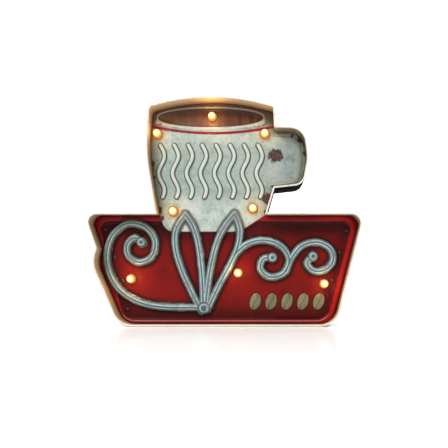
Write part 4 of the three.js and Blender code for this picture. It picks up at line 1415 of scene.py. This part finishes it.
def addCells(sleeve, metal):
    for node, ahead in (("aa_cell_1", 1), ("aa_cell_2", -1)):
        low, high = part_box(node)
        centre = (low + high) / 2 / mm
        start = (centre.x - ahead * cellLength / 2, centre.y, centre.z)
        piece = lathe(
            node + "_body", cellProfile, start, [sleeve, metal], along=(ahead, 0, 0),
            pick=lambda ring: 0 if ring in sleeveRings else 1,
        )
        finishPiece(piece, "cell_sleeve", node)


wiring = {
    "order": (6, 4, 2, 1, 3, 5, 7, 8), "plusEnd": 12.3, "minusEnd": 14.5, "radius": 0.8, "sides": 14,
    "inTray": 2.2, "holeHeight": 4,
}


def addWires(red, dark):
    tree = wireTree()
    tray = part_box("battery_tray")
    floor, right, top = tray[0].y / mm + wiring["inTray"], tray[1].x / mm, tray[1].z / mm - wiring["inTray"]
    switch = (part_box("switch_body")[0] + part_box("switch_body")[1]) / 2 / mm
    hole = floor + wiring["holeHeight"]
    runs = {}
    for node, way, end in (("lamp_wire_plus", 1, "plusEnd"), ("lamp_wire_minus", -1, "minusEnd")):
        side = way * legs["side"]
        line = []
        for number in wiring["order"]:
            x, z = lampPlaces[number - 1]
            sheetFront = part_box("bulb_cap_" + str(number))[1].y / mm - capRear
            slant = 1 if "led_" + str(number) == turned else -1
            line.append((x + side, sheetFront + wiring[end], z + side * slant))
        runs[node] = line
    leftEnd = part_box("minus_lead")[0].x / mm + wiring["radius"]
    runs["plus_lead"] = [
        (switch.x + 5.7, 9, switch.z + 3), (right - 3.6, hole, top - 9), (right - 1, hole, top - 9.6),
        (right + 3, hole + 3, top - 10),
    ]
    runs["minus_lead"] = [
        (leftEnd, floor + 3, top - 2.5), (switch.x, floor + 3.4, top - 2.6), (right - 2, hole, top - 5),
        (right + 2.6, hole + 5, top - 6),
    ]
    for node, line in runs.items():
        path = wirePath(smoothLine(line, 3.0 if node.startswith("lamp") else 1.0))
        material = red if "plus" in node else dark
        values = {"Radius": wiring["radius"] * mm, "Sides": wiring["sides"], "Material": material}
        piece = grown(node + "_cord", path, tree, values)
        finishPiece(piece, "red_wire" if "plus" in node else "black_wire", node)
    print("wiring made")


addCamera()
finishes = {
    "black": blackEnamel(), "cream": creamEnamel(), "back": primedBack(), "zinc": zincSteel(),
    "nickel": nickelStrip(), "resin": lampResin(), "moulding": blackMoulding(), "sleeve": cellSleeve(),
    "red": insulation("red"), "dark": insulation("black"), "rivet": rivetPaint(),
}
addBand(finishes["black"], finishes["cream"], finishes["back"])
plateFinishes = {
    "cup": cupPaint(), "stripe": stripePaint(), "rim": rimPaint(), "coffee": coffeePaint(),
    "border": redPaint("border", False), "field": redPaint("field", True), "tube": tubePaint(),
    "rib": ribPaint(), "bean": beanPaint(),
}
addPlate(plateFinishes, finishes["back"])
addCaps()
addRivets(finishes["rivet"])
for node in named("plate_tab_") + ["hanger_left", "hanger_right", "switch_body"]:
    soften(node, finishes["zinc"], rounding["steel"])
for node in ("link_contact", "plus_contact", "minus_contact"):
    soften(node, finishes["nickel"], rounding["contact"], "contact_metal")
addHolders(finishes["moulding"])
addLeds(finishes["resin"], finishes["nickel"])
addCells(finishes["sleeve"], finishes["nickel"])
addWires(finishes["red"], finishes["dark"])
soften("battery_tray", finishes["moulding"], rounding["tray"], "black_plastic")
soften("battery_door", finishes["moulding"], rounding["moving"], "black_plastic", "door")
soften("switch_slider", finishes["moulding"], rounding["moving"], "black_plastic", "slider")
print("hardware made")


studio = {
    "world": 0.28, "floor": (0.90, 0.90, 0.90), "shade": (0.88, 0.88, 0.88),
    "halfWidth": 14.0, "front": -9.0, "back": 2.5, "bend": 1.2, "height": 6.0, "below": 0.0002,
    "lights": (  # name, place, what it points at, size, energy
        ("key_light", (-0.8, -1.2, 1.3), (0, 0, 0.15), 0.45, 20),
        ("fill_light", (1.3, -1.2, 0.8), (0, 0, 0.15), 0.8, 4),
        ("top_light", (0, -0.6, 2.6), (0, -0.6, 0), 2.6, 62),
        ("back_light", (-0.4, 0.6, 1.9), (-0.4, 3.4, 1.5), 2.2, 210),
    ),
}


def addFloor():  # runs up into the backdrop in one bend
    f = Finish("studio_floor")
    colour = f.mix(f.noise(2, 2, 0.5) * 0.1, studio["floor"], studio["shade"])
    material = f.done(colour=colour, roughness=0.22, gloss=0.3)
    half, bend, back = studio["halfWidth"], studio["bend"], studio["back"]
    profile = [(studio["front"], 0)]
    for turn in np.linspace(0, math.pi / 2, 16):
        profile.append((back + bend * math.sin(turn), bend - bend * math.cos(turn)))
    profile.append((back + bend, studio["height"]))
    verts = [(x, y, z - studio["below"]) for y, z in profile for x in (-half, half)]
    faces = [(2 * i, 2 * i + 1, 2 * i + 3, 2 * i + 2) for i in range(len(profile) - 1)]
    addPiece("studio_floor", verts, faces, [material])


def addStudio():
    addFloor()
    world = bpy.data.worlds.new("studio")
    world.use_nodes = True
    world.node_tree.nodes["Background"].inputs[0].default_value = (1, 1, 1, 1)
    world.node_tree.nodes["Background"].inputs[1].default_value = studio["world"]
    scene.world = world
    for name, place, aim, size, energy in studio["lights"]:
        light = bpy.data.lights.new(name, "AREA")
        light.energy, light.size = energy, size
        lamp = bpy.data.objects.new(name, light)
        lamp.location = place
        lamp.rotation_euler = (Vector(aim) - Vector(place)).to_track_quat("-Z", "Y").to_euler()
        scene.collection.objects.link(lamp)
    scene.view_settings.view_transform = "Standard"
    print("studio made")


addStudio()
